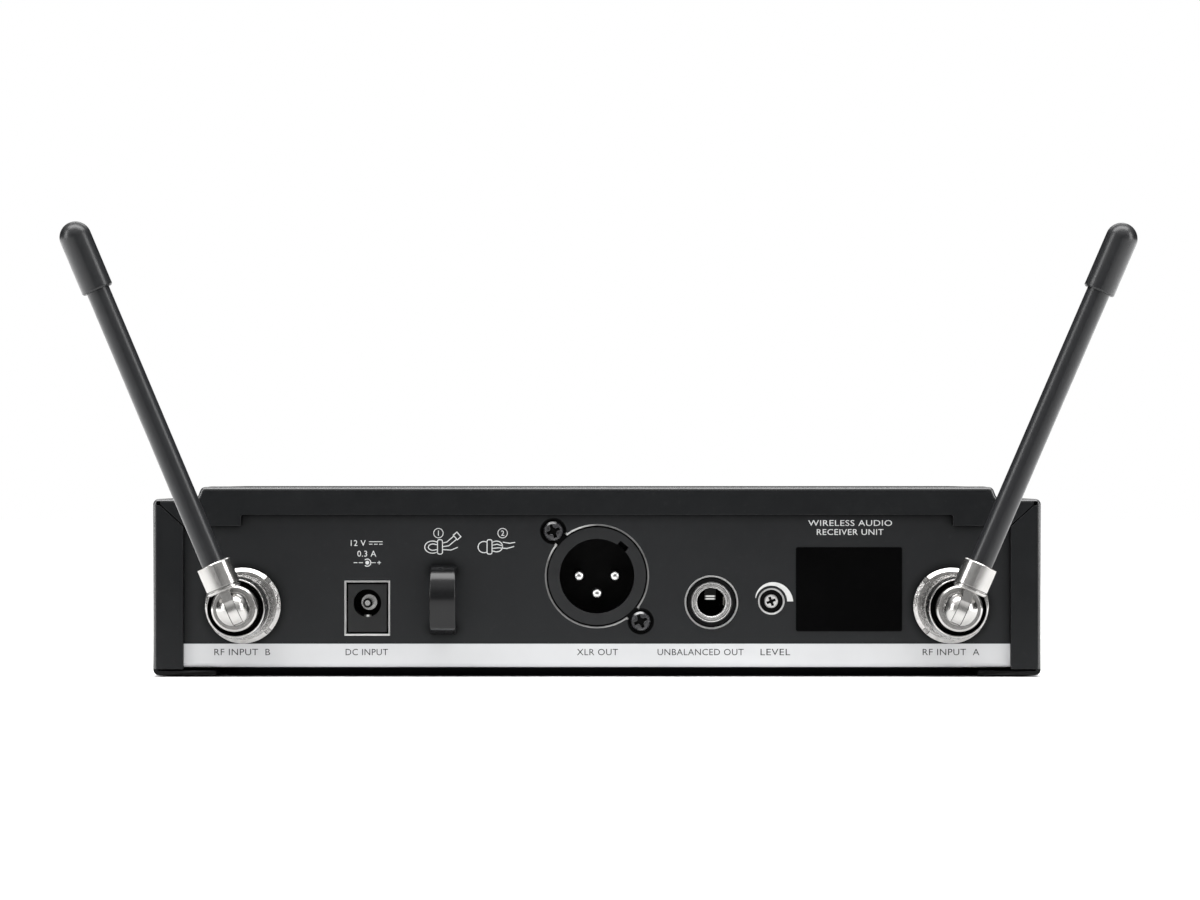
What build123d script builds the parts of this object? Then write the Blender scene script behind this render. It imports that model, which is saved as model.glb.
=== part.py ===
from build123d import *
import math
import os

# Half-rack diversity wireless receiver with two antennas, millimetres, +Z up.
# The front face looks towards -Y, the connector panel towards +Y.
# The origin is the centre of the flat underside.

os.makedirs("parts", exist_ok=True)

# ---------------------------------------------------------------- main dimensions
WIDTH = 197.0               # outside width of the cover
HEIGHT = 42.0               # underside to top of the raised plateau
SIDE_X = WIDTH / 2
REAR_Y = 67.0               # rear face of the cover's folded flange
FRONT_Y = -67.0             # front face of the moulded bezel
COVER_T = 1.0               # cover sheet thickness
TRAY_T = 1.2                # chassis sheet thickness
BOARD_T = 1.6               # circuit board thickness

PANEL_Y = 65.9              # outer face of the connector panel
PANEL_IN_Y = PANEL_Y - TRAY_T
TRAY_X = 97.2               # half width over the tray's side flanges
TRAY_Z = 2.0                # underside of the tray's base sheet
TRAY_FRONT_Y = -58.9        # front edge of the tray
PCB_BOTTOM = 7.8            # main board, underside
PCB_TOP = PCB_BOTTOM + BOARD_T

# connectors on the rear panel: axis positions
BNC_X, BNC_Z = 78.5, 15.7   # one on each side
DC_X, DC_Z, DC_BODY_Z = 51.0, 16.2, 15.1
TIE_X = 34.1
XLR_X, XLR_Z = 0.0, 22.2
XLR_SCREW_DX, XLR_SCREW_DZ = 9.7, 10.0
JACK_X, JACK_Z = -25.4, 16.4
VOLUME_X, VOLUME_Z = -38.7, 16.6
PORTS = [("a", -BNC_X), ("b", BNC_X)]

# fastener positions shared by several pieces
SIDE_SCREWS = [(-44.0, 26.0), (46.0, 26.0)]      # (y, z), on both sides
EAR_HOLES = [(-52.0, 10.0), (-52.0, 32.0)]       # (y, z), rack-ear screws
BEZEL_SCREWS = [(side * 90.5, z) for side in (-1, 1) for z in (8.0, 31.0)]
STANDOFFS = [(-76, -42), (76, -42), (-62, 50), (62, 50)]


# ---------------------------------------------------------------- helpers
# Sketches made in a helper do not join the caller's part, so each is extruded by name.
def rear(x, y, z):
    """Plane facing +Y; its first axis runs along -X and its second along +Z."""
    return Plane(origin=(x, y, z), x_dir=(-1, 0, 0), z_dir=(0, 1, 0))


def front(x, y, z):
    """Plane facing -Y; its first axis runs along +X and its second along +Z."""
    return Plane(origin=(x, y, z), x_dir=(1, 0, 0), z_dir=(0, -1, 0))


def sideways(x, y, z, direction=1):
    """Plane facing +X or -X; its first axis runs along +Y."""
    return Plane(origin=(x, y, z), x_dir=(0, 1, 0), z_dir=(direction, 0, 0))


def span(center, size):
    """Lower and upper limit of a size laid evenly about a centre."""
    return center - size / 2, center + size / 2


def block(x_limits, y_limits, z_limits, mode=Mode.ADD):
    """Block between two limits per axis, given in either order."""
    (x0, x1), (y0, y1), (z0, z1) = sorted(x_limits), sorted(y_limits), sorted(z_limits)
    with BuildSketch(Plane.XY.offset(z0)) as base:
        with Locations(((x0 + x1) / 2, (y0 + y1) / 2)):
            Rectangle(x1 - x0, y1 - y0)
    extrude(base.sketch, amount=z1 - z0, mode=mode)


def rod(plane, radius, length, mode):
    with BuildSketch(plane) as section:
        Circle(radius)
    extrude(section.sketch, amount=length, mode=mode)


def rod_x(y, z, radius, x0, x1, mode=Mode.ADD):
    rod(sideways(x0, y, z), radius, x1 - x0, mode)


def rod_y(x, z, radius, y0, y1, mode=Mode.ADD):
    rod(rear(x, y0, z), radius, y1 - y0, mode)


def rod_z(x, y, radius, z0, z1, mode=Mode.ADD):
    rod(Plane(origin=(x, y, z0)), radius, z1 - z0, mode)


def rounded_bar(plane, width, height, radius, depth, mode=Mode.ADD):
    """Bar of rounded rectangular section, raised from a plane."""
    with BuildSketch(plane) as section:
        RectangleRounded(width, height, radius)
    extrude(section.sketch, amount=depth, mode=mode)


def turned_y(x, z, points, mode=Mode.ADD, arc=360.0, start=0.0):
    """Revolves a closed (radius, y) profile about the Y-parallel axis through x, z."""
    angle = math.radians(start)
    outward = (math.cos(angle), 0, math.sin(angle))
    normal = (-math.sin(angle), 0, math.cos(angle))
    with BuildSketch(Plane(origin=(x, 0, z), x_dir=outward, z_dir=normal)) as profile:
        with BuildLine():
            Polyline(*points, close=True)
        make_face()
    revolve(profile.sketch, axis=Axis((x, 0, z), (0, 1, 0)), revolution_arc=arc, mode=mode)


def bent_leaf(x, width, points):
    """Strip centred on x whose side view is a closed (y, z) outline."""
    with BuildSketch(sideways(x - width / 2, 0, 0)) as side_view:
        with BuildLine():
            Polyline(*points, close=True)
        make_face()
    extrude(side_view.sketch, amount=width)


def cut_cross(plane, length, width, depth):
    """Cross recess, cut one arm after the other."""
    for turn in (0, 90):
        with BuildSketch(plane) as arm:
            with Locations(Location((0, 0), turn)):
                Rectangle(length, width)
        extrude(arm.sketch, amount=depth, mode=Mode.SUBTRACT)


def cut_hubbed_cross(plane, hub_radius, length, width, depth):
    """Slightly turned cross recess with a round hub."""
    with BuildSketch(plane) as recess:
        Circle(hub_radius)
        for turn in (22, 112):
            with Locations(Location((0, 0), turn)):
                Rectangle(length, width)
    extrude(recess.sketch, amount=depth, mode=Mode.SUBTRACT)


def edges_at_y(builder, y):
    return [e for e in builder.edges() if abs(e.center().Y - y) < 1e-4]


def ease_if_possible(operation, edges, size, place):
    """Fillets or chamfers; where the kernel can't, the edges stay sharp and are reported."""
    try:
        operation(edges, size)
    except Exception as problem:
        print(place, "left sharp:", problem)


def save(builder, label):
    builder.part.label = label
    export_step(builder.part, "parts/" + label + ".step")


# ---------------------------------------------------------------- top cover
SHOULDER_Z = 39.35          # top of the low side shoulders
PLATEAU_TOP_X = 87.75       # half width of the raised plateau at its top
PLATEAU_FOOT_X = 88.75      # half width of the raised plateau at its foot
COVER_FRONT_Y = -59.4       # front edge of the cover sheet
COVER_IN_Y = REAR_Y - COVER_T
CORNER_R = 1.3
BEND_R = 0.85               # outside bend along the rear edge
BOTTOM_FLANGE_X = 84.6      # inner edge of the bottom flanges
FLANGE_X = 91.8             # inner edge of the rear side flanges
FLANGE_LOW_Z = 33.4         # lower edge of the rear top flange near its ends
FLANGE_HIGH_Z = 35.85       # lower edge of the rear top flange along its middle
FLANGE_STEP_X = 79.0        # where the top flange steps
STEP_CUT = 0.3              # small bevel at that step
SEAM_X, SEAM_Z = 97.3, 38.4  # corner relief holes, outer ends of the mitre seams
SEAM_W = 0.3

# (-x, z) outer section of the sleeve: low shoulders and a raised plateau
COVER_OUTLINE = [
    (-SIDE_X, 0.2), (SIDE_X, 0.2), (SIDE_X, SHOULDER_Z), (PLATEAU_FOOT_X, SHOULDER_Z),
    (PLATEAU_TOP_X, HEIGHT), (-PLATEAU_TOP_X, HEIGHT),
    (-PLATEAU_FOOT_X, SHOULDER_Z), (-SIDE_X, SHOULDER_Z),
]
# (-x, z) opening left between the rear flanges
FLANGE_MOUTH = [
    (-99.5, -1), (99.5, -1), (99.5, 1.6), (FLANGE_X, 1.6),
    (FLANGE_X, FLANGE_LOW_Z), (FLANGE_STEP_X, FLANGE_LOW_Z),
    (FLANGE_STEP_X, FLANGE_HIGH_Z - STEP_CUT), (FLANGE_STEP_X - STEP_CUT, FLANGE_HIGH_Z),
    (-FLANGE_STEP_X + STEP_CUT, FLANGE_HIGH_Z), (-FLANGE_STEP_X, FLANGE_HIGH_Z - STEP_CUT),
    (-FLANGE_STEP_X, FLANGE_LOW_Z), (-FLANGE_X, FLANGE_LOW_Z),
    (-FLANGE_X, 1.6), (-99.5, 1.6),
]


def on_rear_bend(edge):
    """True for rear-face edges along the top, the shoulders and the outer sides."""
    center = edge.center()
    size = edge.bounding_box().size
    return (
        abs(size.Y) < 1e-4
        and center.Z > 2
        and (
            center.Z > 38.6
            or (abs(center.X) > 98.3 and size.Z > 5)
            or (abs(center.X) > 97.0 and center.Z > 38.0)
        )
    )


with BuildPart() as top_cover:
    with BuildSketch(rear(0, COVER_FRONT_Y, 0)) as cover_section:
        with BuildLine():
            Polyline(*COVER_OUTLINE, close=True)
        make_face()
        fillet(cover_section.vertices(), CORNER_R)
        offset(amount=-COVER_T, mode=Mode.SUBTRACT)
        with Locations((0, 0.5)):
            Rectangle(2 * BOTTOM_FLANGE_X, 2.4, mode=Mode.SUBTRACT)
    extrude(amount=COVER_IN_Y - COVER_FRONT_Y)
    # rear top and side flanges, folded inwards
    with BuildSketch(rear(0, COVER_IN_Y, 0)) as cover_flange:
        with BuildLine():
            Polyline(*COVER_OUTLINE, close=True)
        make_face()
        fillet(cover_flange.vertices(), CORNER_R)
        with BuildLine(mode=Mode.PRIVATE) as flange_mouth:
            Polyline(*FLANGE_MOUTH, close=True)
        make_face(flange_mouth.edges(), mode=Mode.SUBTRACT)
    extrude(amount=COVER_T)
    bend = [e for e in edges_at_y(top_cover, REAR_Y) if on_rear_bend(e)]
    ease_if_possible(fillet, bend, BEND_R, "cover bend")
    # mitre seams between top and side flanges, and their corner relief holes
    seam_end_x, seam_end_z = FLANGE_X - 0.3, FLANGE_LOW_Z - 0.3
    seam_length = math.hypot(seam_end_x - SEAM_X, seam_end_z - SEAM_Z)
    for side in (-1, 1):
        seam_plane = Plane(
            origin=(side * (SEAM_X + seam_end_x) / 2, COVER_IN_Y, (SEAM_Z + seam_end_z) / 2),
            x_dir=(side * (seam_end_x - SEAM_X), 0, seam_end_z - SEAM_Z),
            z_dir=(0, 1, 0),
        )
        with BuildSketch(seam_plane) as seam:
            Rectangle(seam_length, SEAM_W)
        extrude(seam.sketch, amount=COVER_T + 0.5, mode=Mode.SUBTRACT)
        rod_y(side * SEAM_X, SEAM_Z, 0.5, COVER_IN_Y, REAR_Y + 0.5, Mode.SUBTRACT)
    # countersunk side holes and plain rack-ear holes
    for side in (-1, 1):
        for y, z in SIDE_SCREWS:
            with BuildSketch(sideways(side * SIDE_X, y, z, -side)) as sink_mouth:
                Circle(2.7)
            with BuildSketch(sideways(side * (SIDE_X - COVER_T), y, z, -side)) as sink_floor:
                Circle(1.7)
            loft([sink_mouth.sketch.face(), sink_floor.sketch.face()], mode=Mode.SUBTRACT)
        for y, z in EAR_HOLES:
            rod_x(y, z, 2.2, side * (SIDE_X + 0.5), side * (SIDE_X - 1.5), Mode.SUBTRACT)
save(top_cover, "top_cover")

# ---------------------------------------------------------------- chassis tray
PANEL_TOP_Z = 38.0
TRAY_SIDE_TOP_Z = 36.0
RETURN_FLANGE_X = 85.0      # inner edge of the front return flanges
FOOT_X, FOOT_Y = 84.0, 60.0  # half size of the pressed-down foot area
BNC_HOLE_R = 6.45
SMALL_HOLE_R = 2.57         # output screws and level trim
STANDOFF_HOLE_R = 1.6

with BuildPart() as chassis_tray:
    # base sheet, connector panel, side flanges and the front flanges that carry the bezel
    tray_depth = (TRAY_FRONT_Y, PANEL_Y)
    block((-TRAY_X, TRAY_X), tray_depth, (TRAY_Z, TRAY_Z + TRAY_T))
    block((-TRAY_X, TRAY_X), (PANEL_IN_Y, PANEL_Y), (TRAY_Z, PANEL_TOP_Z))
    for side in (-1, 1):
        outer_x = side * TRAY_X
        block((outer_x, side * (TRAY_X - TRAY_T)), tray_depth, (TRAY_Z, TRAY_SIDE_TOP_Z))
        block(
            (outer_x, side * RETURN_FLANGE_X),
            (TRAY_FRONT_Y, TRAY_FRONT_Y + TRAY_T),
            (TRAY_Z, TRAY_SIDE_TOP_Z),
        )
    # folded outer bend under the connector panel
    fold = [
        e for e in edges_at_y(chassis_tray, PANEL_Y)
        if abs(e.center().Z - TRAY_Z) < 1e-4 and e.bounding_box().size.X > 50
    ]
    fillet(fold, 1.15)
    # foot area pressed down from the base sheet
    with BuildSketch(Plane.XY.offset(0)) as foot:
        RectangleRounded(2 * FOOT_X - 3, 2 * FOOT_Y - 3, 5)
    with BuildSketch(Plane.XY.offset(TRAY_Z + 0.1)) as foot_top:
        RectangleRounded(2 * FOOT_X, 2 * FOOT_Y - 1, 6)
    loft()
    with BuildSketch(Plane.XY.offset(TRAY_T)) as dish:
        RectangleRounded(2 * FOOT_X - 5.4, 2 * FOOT_Y - 5.4, 4)
    with BuildSketch(Plane.XY.offset(TRAY_Z + TRAY_T + 0.01)) as dish_top:
        RectangleRounded(2 * FOOT_X - 2.8, 2 * FOOT_Y - 3.8, 5)
    loft(mode=Mode.SUBTRACT)
    # connector openings, drawn in (-x, z)
    with BuildSketch(rear(0, PANEL_IN_Y - 0.5, 0)) as openings:
        for port, x in PORTS:
            with Locations((-x, BNC_Z)):
                Circle(BNC_HOLE_R)
        with Locations((-DC_X, DC_BODY_Z)):
            Rectangle(9.3, 11.4)
        with Locations((-XLR_X, XLR_Z)):
            Circle(11.2)
        # screw holes of the balanced output, each joined to its round opening by a slot
        screw_angle = math.degrees(math.atan2(XLR_SCREW_DZ, XLR_SCREW_DX))
        for side in (-1, 1):
            screw_dx, screw_dz = -side * XLR_SCREW_DX, side * XLR_SCREW_DZ
            with Locations((-XLR_X + screw_dx, XLR_Z + screw_dz)):
                Circle(SMALL_HOLE_R)
            slot_center = (-XLR_X + screw_dx * 0.83, XLR_Z + screw_dz * 0.83)
            with Locations(Location(slot_center, -screw_angle)):
                Rectangle(4.2, 3.0)
        with Locations((-JACK_X, JACK_Z)):
            Circle(5.58)
        with Locations((-VOLUME_X, VOLUME_Z)):
            Circle(SMALL_HOLE_R)
        for z in (10.3, 23.6):
            with Locations((-TIE_X, z)):
                Rectangle(5.4, 2.1)
    extrude(amount=TRAY_T + 1.0, mode=Mode.SUBTRACT)
    # bevelled edges round the connector openings
    panel_face = [
        f for f in chassis_tray.faces()
        if abs(f.center().Y - PANEL_Y) < 1e-4 and f.area > 1500
    ][0]
    dc_rim, xlr_rim, round_rims = [], [], []
    for wire in panel_face.inner_wires():
        x = wire.bounding_box().center().X
        if abs(x - DC_X) < 1.5:
            dc_rim += list(wire.edges())
        elif abs(x - XLR_X) < 1.5:
            xlr_rim += list(wire.edges())
        elif abs(x - JACK_X) < 1.5 or abs(x - VOLUME_X) < 1.5:
            round_rims += list(wire.edges())
    ease_if_possible(chamfer, dc_rim, 0.42, "power opening")
    ease_if_possible(chamfer, xlr_rim, 0.38, "balanced output opening")
    ease_if_possible(chamfer, round_rims, 0.38, "jack and level openings")
    # side screw, rack-ear, bezel screw and standoff holes
    for side in (-1, 1):
        for holes, radius in ((SIDE_SCREWS, 1.45), (EAR_HOLES, 1.65)):
            for y, z in holes:
                rod_x(y, z, radius, side * (TRAY_X + 0.5), side * (TRAY_X - 1.7),
                      Mode.SUBTRACT)
    for x, z in BEZEL_SCREWS:
        rod_y(x, z, 1.6, -59.5, -57.0, Mode.SUBTRACT)
    for x, y in STANDOFFS:
        rod_z(x, y, STANDOFF_HOLE_R, -0.5, 1.5, Mode.SUBTRACT)
save(chassis_tray, "chassis_tray")

# countersunk screws that hold the cover to the tray
# (depth inwards from the cover side, radius)
COVER_SCREW_PROFILE = [
    (0.05, 0), (0.05, 2.62), (1.0, 1.66), (1.0, 1.4), (5.5, 1.4), (6.0, 1.0), (6.0, 0),
]
with BuildPart() as cover_screws:
    for side in (-1, 1):
        for y, z in SIDE_SCREWS:
            head = (side * SIDE_X, y, z)
            with BuildSketch(
                Plane(origin=head, x_dir=(-side, 0, 0), z_dir=(0, 0, 1))
            ) as screw_half:
                with BuildLine():
                    Polyline(*COVER_SCREW_PROFILE, close=True)
                make_face()
            revolve(screw_half.sketch, axis=Axis(head, (1, 0, 0)))
            cut_cross(sideways(*head, -side), length=2.4, width=0.55, depth=0.7)
save(cover_screws, "cover_screws")

# ---------------------------------------------------------------- main board
with BuildPart() as main_pcb:
    block((-90, 90), (-50, 61.4), (PCB_BOTTOM, PCB_TOP))
    through_board = (PCB_BOTTOM - 1, PCB_TOP + 1)
    for x, y in STANDOFFS:
        rod_z(x, y, STANDOFF_HOLE_R, *through_board, Mode.SUBTRACT)
    # rear corners cut back under the antenna ports
    for side in (-1, 1):
        block((side * 69, side * 91), (54.0, 64.0), through_board, Mode.SUBTRACT)
save(main_pcb, "main_pcb")

with BuildPart() as pcb_standoffs:
    for x, y in STANDOFFS:
        with BuildSketch(Plane(origin=(x, y, TRAY_T))) as standoff:
            RegularPolygon(3.2, 6)
            Circle(1.3, mode=Mode.SUBTRACT)
        extrude(standoff.sketch, amount=PCB_BOTTOM - TRAY_T)
save(pcb_standoffs, "pcb_standoffs")

PCB_SCREW_TOP = PCB_TOP + 1.9
with BuildPart() as pcb_screws:
    for x, y in STANDOFFS:
        rod_z(x, y, 1.25, 3.4, PCB_TOP)
        rod_z(x, y, 2.75, PCB_TOP, PCB_SCREW_TOP)
        cut_cross(Plane(origin=(x, y, PCB_SCREW_TOP)), length=2.6, width=0.6, depth=-1.0)
save(pcb_screws, "pcb_screws")

CAN_X, CAN_Y = 58, 20       # centres of the shield cans, one on each side
CAN_W, CAN_D, CAN_H, CAN_T = 34, 32, 6.5, 0.3
with BuildPart() as rf_shield_cans:
    for x in (-CAN_X, CAN_X):
        block(span(x, CAN_W), span(CAN_Y, CAN_D), (PCB_TOP, PCB_TOP + CAN_H))
        block(
            span(x, CAN_W - 2 * CAN_T), span(CAN_Y, CAN_D - 2 * CAN_T),
            (PCB_TOP - 0.1, PCB_TOP + CAN_H - CAN_T), Mode.SUBTRACT,
        )
        with BuildSketch(Plane(origin=(x, CAN_Y, PCB_TOP + 6))) as vents:
            with GridLocations(7, 7, 4, 4):
                Circle(0.8)
        extrude(vents.sketch, amount=1.0, mode=Mode.SUBTRACT)
save(rf_shield_cans, "rf_shield_cans")

# x, y, width, depth, height
CHIPS = [
    (-58, 20, 9, 9, 1.2), (58, 20, 9, 9, 1.2), (-20, 6, 12, 12, 1.4),
    (14, 8, 10, 10, 1.4), (0, -22, 14, 10, 1.6), (-34, 30, 5, 6, 1.5),
    (-10, 36, 5, 4, 1.5), (30, -10, 8, 5, 1.5),
]
with BuildPart() as signal_chips:
    for x, y, width, depth, height in CHIPS:
        block(span(x, width), span(y, depth), (PCB_TOP, PCB_TOP + height))
save(signal_chips, "signal_chips")

# x, y, radius, height
CAPACITORS = [
    (34, 34, 4.0, 11), (25, 34, 4.0, 11), (17, 26, 3.2, 8), (17, 38, 3.2, 8),
    (-12, 24, 2.5, 7), (-5, 24, 2.5, 7), (40, -30, 3.2, 8),
]
with BuildPart() as capacitors:
    for x, y, radius, height in CAPACITORS:
        rod_z(x, y, radius, PCB_TOP, PCB_TOP + height)
save(capacitors, "capacitors")

# ---------------------------------------------------------------- front end
BEZEL_IN_Y = -64.6          # inner face of the bezel's front wall
BEZEL_DEPTH = 7.5
CUT_Y = FRONT_Y - 1         # where cuts through the front wall start
WALL_CUT = 6                # length of those cuts
WINDOW_X, WINDOW_Z = -14.0, 21.5
WINDOW_W, WINDOW_H = 44.0, 20.0
WINDOW_LIP = 2.0            # width of the seat round the window opening
BUTTONS = [("group_button", 24.0), ("channel_button", 40.0)]   # name, x
BUTTON_Z, BUTTON_W, BUTTON_H = 21.5, 10.0, 6.0
LIGHT_PIPES = [(-56.0, 28.0), (-56.0, 15.0), (-46.0, 28.0), (-46.0, 15.0)]   # (x, z)
SWITCH_X, SWITCH_Z = 72.0, 21.5
AXLE_Y = -60.0              # rocker axle of the power switch
FRONT_PCB_Y0 = -57.4
FRONT_PCB_Y1 = FRONT_PCB_Y0 + BOARD_T

with BuildPart() as front_bezel:
    with BuildSketch(front(0, FRONT_Y, HEIGHT / 2)) as outline:
        RectangleRounded(WIDTH, HEIGHT - 0.22, 3.0)
    extrude(amount=-BEZEL_DEPTH)
    fillet(edges_at_y(front_bezel, FRONT_Y), 1.6)
    with BuildSketch(front(0, BEZEL_IN_Y, HEIGHT / 2)) as hollow:
        RectangleRounded(WIDTH - 4.4, HEIGHT - 4.6, 1.6)
    extrude(amount=-10, mode=Mode.SUBTRACT)
    # bosses for the screws from the tray's return flanges
    for x, z in BEZEL_SCREWS:
        rod_y(x, z, 3.4, BEZEL_IN_Y - 0.5, TRAY_FRONT_Y)
        rod_y(x, z, 1.2, BEZEL_IN_Y, -58.0, Mode.SUBTRACT)
    # openings: window with a seat, buttons, light pipes, power switch
    window_plane = rear(WINDOW_X, CUT_Y, WINDOW_Z)
    rounded_bar(window_plane, WINDOW_W, WINDOW_H, 2, 1.7, Mode.SUBTRACT)
    rounded_bar(
        window_plane, WINDOW_W - 2 * WINDOW_LIP, WINDOW_H - 2 * WINDOW_LIP, 1.2,
        WALL_CUT, Mode.SUBTRACT,
    )
    for name, x in BUTTONS:
        rounded_bar(
            rear(x, CUT_Y, BUTTON_Z), BUTTON_W + 0.5, BUTTON_H + 0.5, 1.6,
            WALL_CUT, Mode.SUBTRACT,
        )
    for x, z in LIGHT_PIPES:
        rod_y(x, z, 1.55, CUT_Y, BEZEL_IN_Y + 2, Mode.SUBTRACT)
    block(
        span(SWITCH_X, 13.0), (CUT_Y, CUT_Y + WALL_CUT), span(SWITCH_Z, 19.2), Mode.SUBTRACT
    )
save(front_bezel, "front_bezel")

# (radius, y)
BEZEL_SCREW_PROFILE = [
    (0, -63.4), (0.9, -63.4), (1.15, -62.9), (1.15, -57.7), (2.6, -57.7),
    (2.6, -56.4), (2.0, -55.9), (0, -55.9),
]
with BuildPart() as bezel_screws:
    for x, z in BEZEL_SCREWS:
        turned_y(x, z, BEZEL_SCREW_PROFILE)
        cut_cross(rear(x, -56.7, z), length=2.4, width=0.6, depth=1.2)
save(bezel_screws, "bezel_screws")

# pane with a smaller step that reaches into the window opening
with BuildPart() as display_window:
    rounded_bar(
        rear(WINDOW_X, FRONT_Y + 0.1, WINDOW_Z), WINDOW_W - 0.2, WINDOW_H - 0.2, 1.9, 0.6
    )
    rounded_bar(
        rear(WINDOW_X, FRONT_Y + 0.7, WINDOW_Z),
        WINDOW_W - 2 * WINDOW_LIP - 0.2, WINDOW_H - 2 * WINDOW_LIP - 0.2, 1.1, 1.2,
    )
save(display_window, "display_window")

DISPLAY_FRONT_Y = -64.3
# segments of one digit about its centre: x, z, width, height
SEGMENTS = [
    (0, 5, 5, 1.1), (0, 0, 5, 1.1), (0, -5, 5, 1.1),
    (-3.2, 2.5, 1.1, 3.9), (3.2, 2.5, 1.1, 3.9),
    (-3.2, -2.5, 1.1, 3.9), (3.2, -2.5, 1.1, 3.9),
]
with BuildPart() as segment_display:
    block(span(WINDOW_X, 34), (DISPLAY_FRONT_Y, FRONT_PCB_Y0), span(WINDOW_Z, 14))
    # shallow recesses of the two figure-eight digits
    for digit_dx in (-8.5, 8.5):
        for dx, dz, width, height in SEGMENTS:
            block(
                span(WINDOW_X + digit_dx + dx, width), span(DISPLAY_FRONT_Y, 0.2),
                span(WINDOW_Z + dz, height), Mode.SUBTRACT,
            )
save(segment_display, "segment_display")

with BuildPart() as front_pcb:
    block((-66, 62), (FRONT_PCB_Y0, FRONT_PCB_Y1), (5.0, 37.0))
save(front_pcb, "front_pcb")

# (radius, y)
LIGHT_PIPE_PROFILE = [
    (0, -67.5), (0.7, -67.35), (1.2, -66.9), (1.5, -66.3), (1.5, -64.5),
    (2.2, -64.5), (2.2, FRONT_PCB_Y0), (0, FRONT_PCB_Y0),
]
with BuildPart() as light_pipes:
    for x, z in LIGHT_PIPES:
        turned_y(x, z, LIGHT_PIPE_PROFILE)
save(light_pipes, "light_pipes")

with BuildPart() as tact_switches:
    for name, x in BUTTONS:
        block(span(x, 6), (-60.9, FRONT_PCB_Y0), span(BUTTON_Z, 6))
        rod_y(x, BUTTON_Z, 1.75, -62.0, -60.8)
save(tact_switches, "tact_switches")

BUTTON_FRONT_Y = -67.9


def push_button(x):
    """Cap with eased front edges, a wider rim inside the bezel and a rear stud."""
    with BuildPart() as button:
        rounded_bar(rear(x, BUTTON_FRONT_Y, BUTTON_Z), BUTTON_W, BUTTON_H, 1.4, 4.1)
        fillet(edges_at_y(button, BUTTON_FRONT_Y), 0.7)
        rounded_bar(rear(x, -63.9, BUTTON_Z), BUTTON_W + 2.2, BUTTON_H + 2.2, 1.6, 0.8)
        rod_y(x, BUTTON_Z, 1.6, -63.2, -62.45)
    return button


for name, x in BUTTONS:
    save(push_button(x), name)

SWITCH_BODY_X = 6.3         # half width of the switch body
SWITCH_BACK_Y = -51.0
with BuildPart() as power_switch_body:
    rounded_bar(rear(SWITCH_X, FRONT_Y - 0.6, SWITCH_Z), 15.4, 21.4, 1.2, 0.58)
    block(
        span(SWITCH_X, 2 * SWITCH_BODY_X), (FRONT_Y - 0.1, SWITCH_BACK_Y),
        span(SWITCH_Z, 18.8),
    )
    # pocket for the rocker, open to the front
    with BuildSketch(sideways(SWITCH_X - 4.6, AXLE_Y, SWITCH_Z)) as drum_pocket:
        Circle(7.3)
        with Locations((-6, 0)):
            Rectangle(12, 14.6)
    extrude(amount=9.2, mode=Mode.SUBTRACT)
    rod_x(AXLE_Y, SWITCH_Z, 1.55, *span(SWITCH_X, 2 * SWITCH_BODY_X), Mode.SUBTRACT)
    # two blades at the back
    for z in (SWITCH_Z - 5, SWITCH_Z + 5):
        block(span(SWITCH_X, 4), (SWITCH_BACK_Y - 0.1, -46.0), span(z, 0.8))
save(power_switch_body, "power_switch_body")

FACET_DISTANCE = 5.75       # axle to each front facet
FACET_ANGLE = 12.0          # half angle of the shallow V
ROCKER_TILT = 7.0           # turn of the whole V about the axle
FACET_CUT = 10              # thickness of what is cut away in front of a facet
with BuildPart() as power_rocker:
    # a drum with a shallow V across its front, tilted about the axle
    with BuildSketch(sideways(SWITCH_X - 4.4, AXLE_Y, SWITCH_Z)) as drum:
        Circle(7.0)
        reach = FACET_DISTANCE + FACET_CUT / 2
        for sign in (-1, 1):
            angle = math.radians(sign * FACET_ANGLE + ROCKER_TILT)
            cut_center = (-reach * math.cos(angle), reach * math.sin(angle))
            with Locations(Location(cut_center, -math.degrees(angle))):
                Rectangle(FACET_CUT, 30, mode=Mode.SUBTRACT)
    extrude(amount=8.8)
    rod_x(AXLE_Y, SWITCH_Z, 1.5, *span(SWITCH_X, 12.4))
save(power_rocker, "power_rocker")

# flat cable between the two boards and its two sockets
CABLE_Y0, CABLE_Y1 = -52.4, -43.0   # at the front board, above the main board
CABLE_Z0, CABLE_Z1 = 24.0, 12.9
with BuildPart() as ribbon_cable:
    with BuildLine() as cable_path:
        Line((0, CABLE_Y0, CABLE_Z0), (0, -50.0, CABLE_Z0))
        TangentArc((0, -50.0, CABLE_Z0), (0, CABLE_Y1, 17.0), tangent=(0, 1, 0))
        Line((0, CABLE_Y1, 17.0), (0, CABLE_Y1, CABLE_Z1))
    with BuildSketch(rear(0, CABLE_Y0, CABLE_Z0)) as cable_section:
        Rectangle(24, 0.9)
    sweep(cable_section.sketch, path=cable_path.line)
save(ribbon_cable, "ribbon_cable")

with BuildPart() as ribbon_sockets:
    block((-14, 14), (FRONT_PCB_Y1, CABLE_Y0), span(CABLE_Z0, 4.8))
    block((-14, 14), span(CABLE_Y1, 4.8), (PCB_TOP, CABLE_Z1))
save(ribbon_sockets, "ribbon_sockets")

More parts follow.
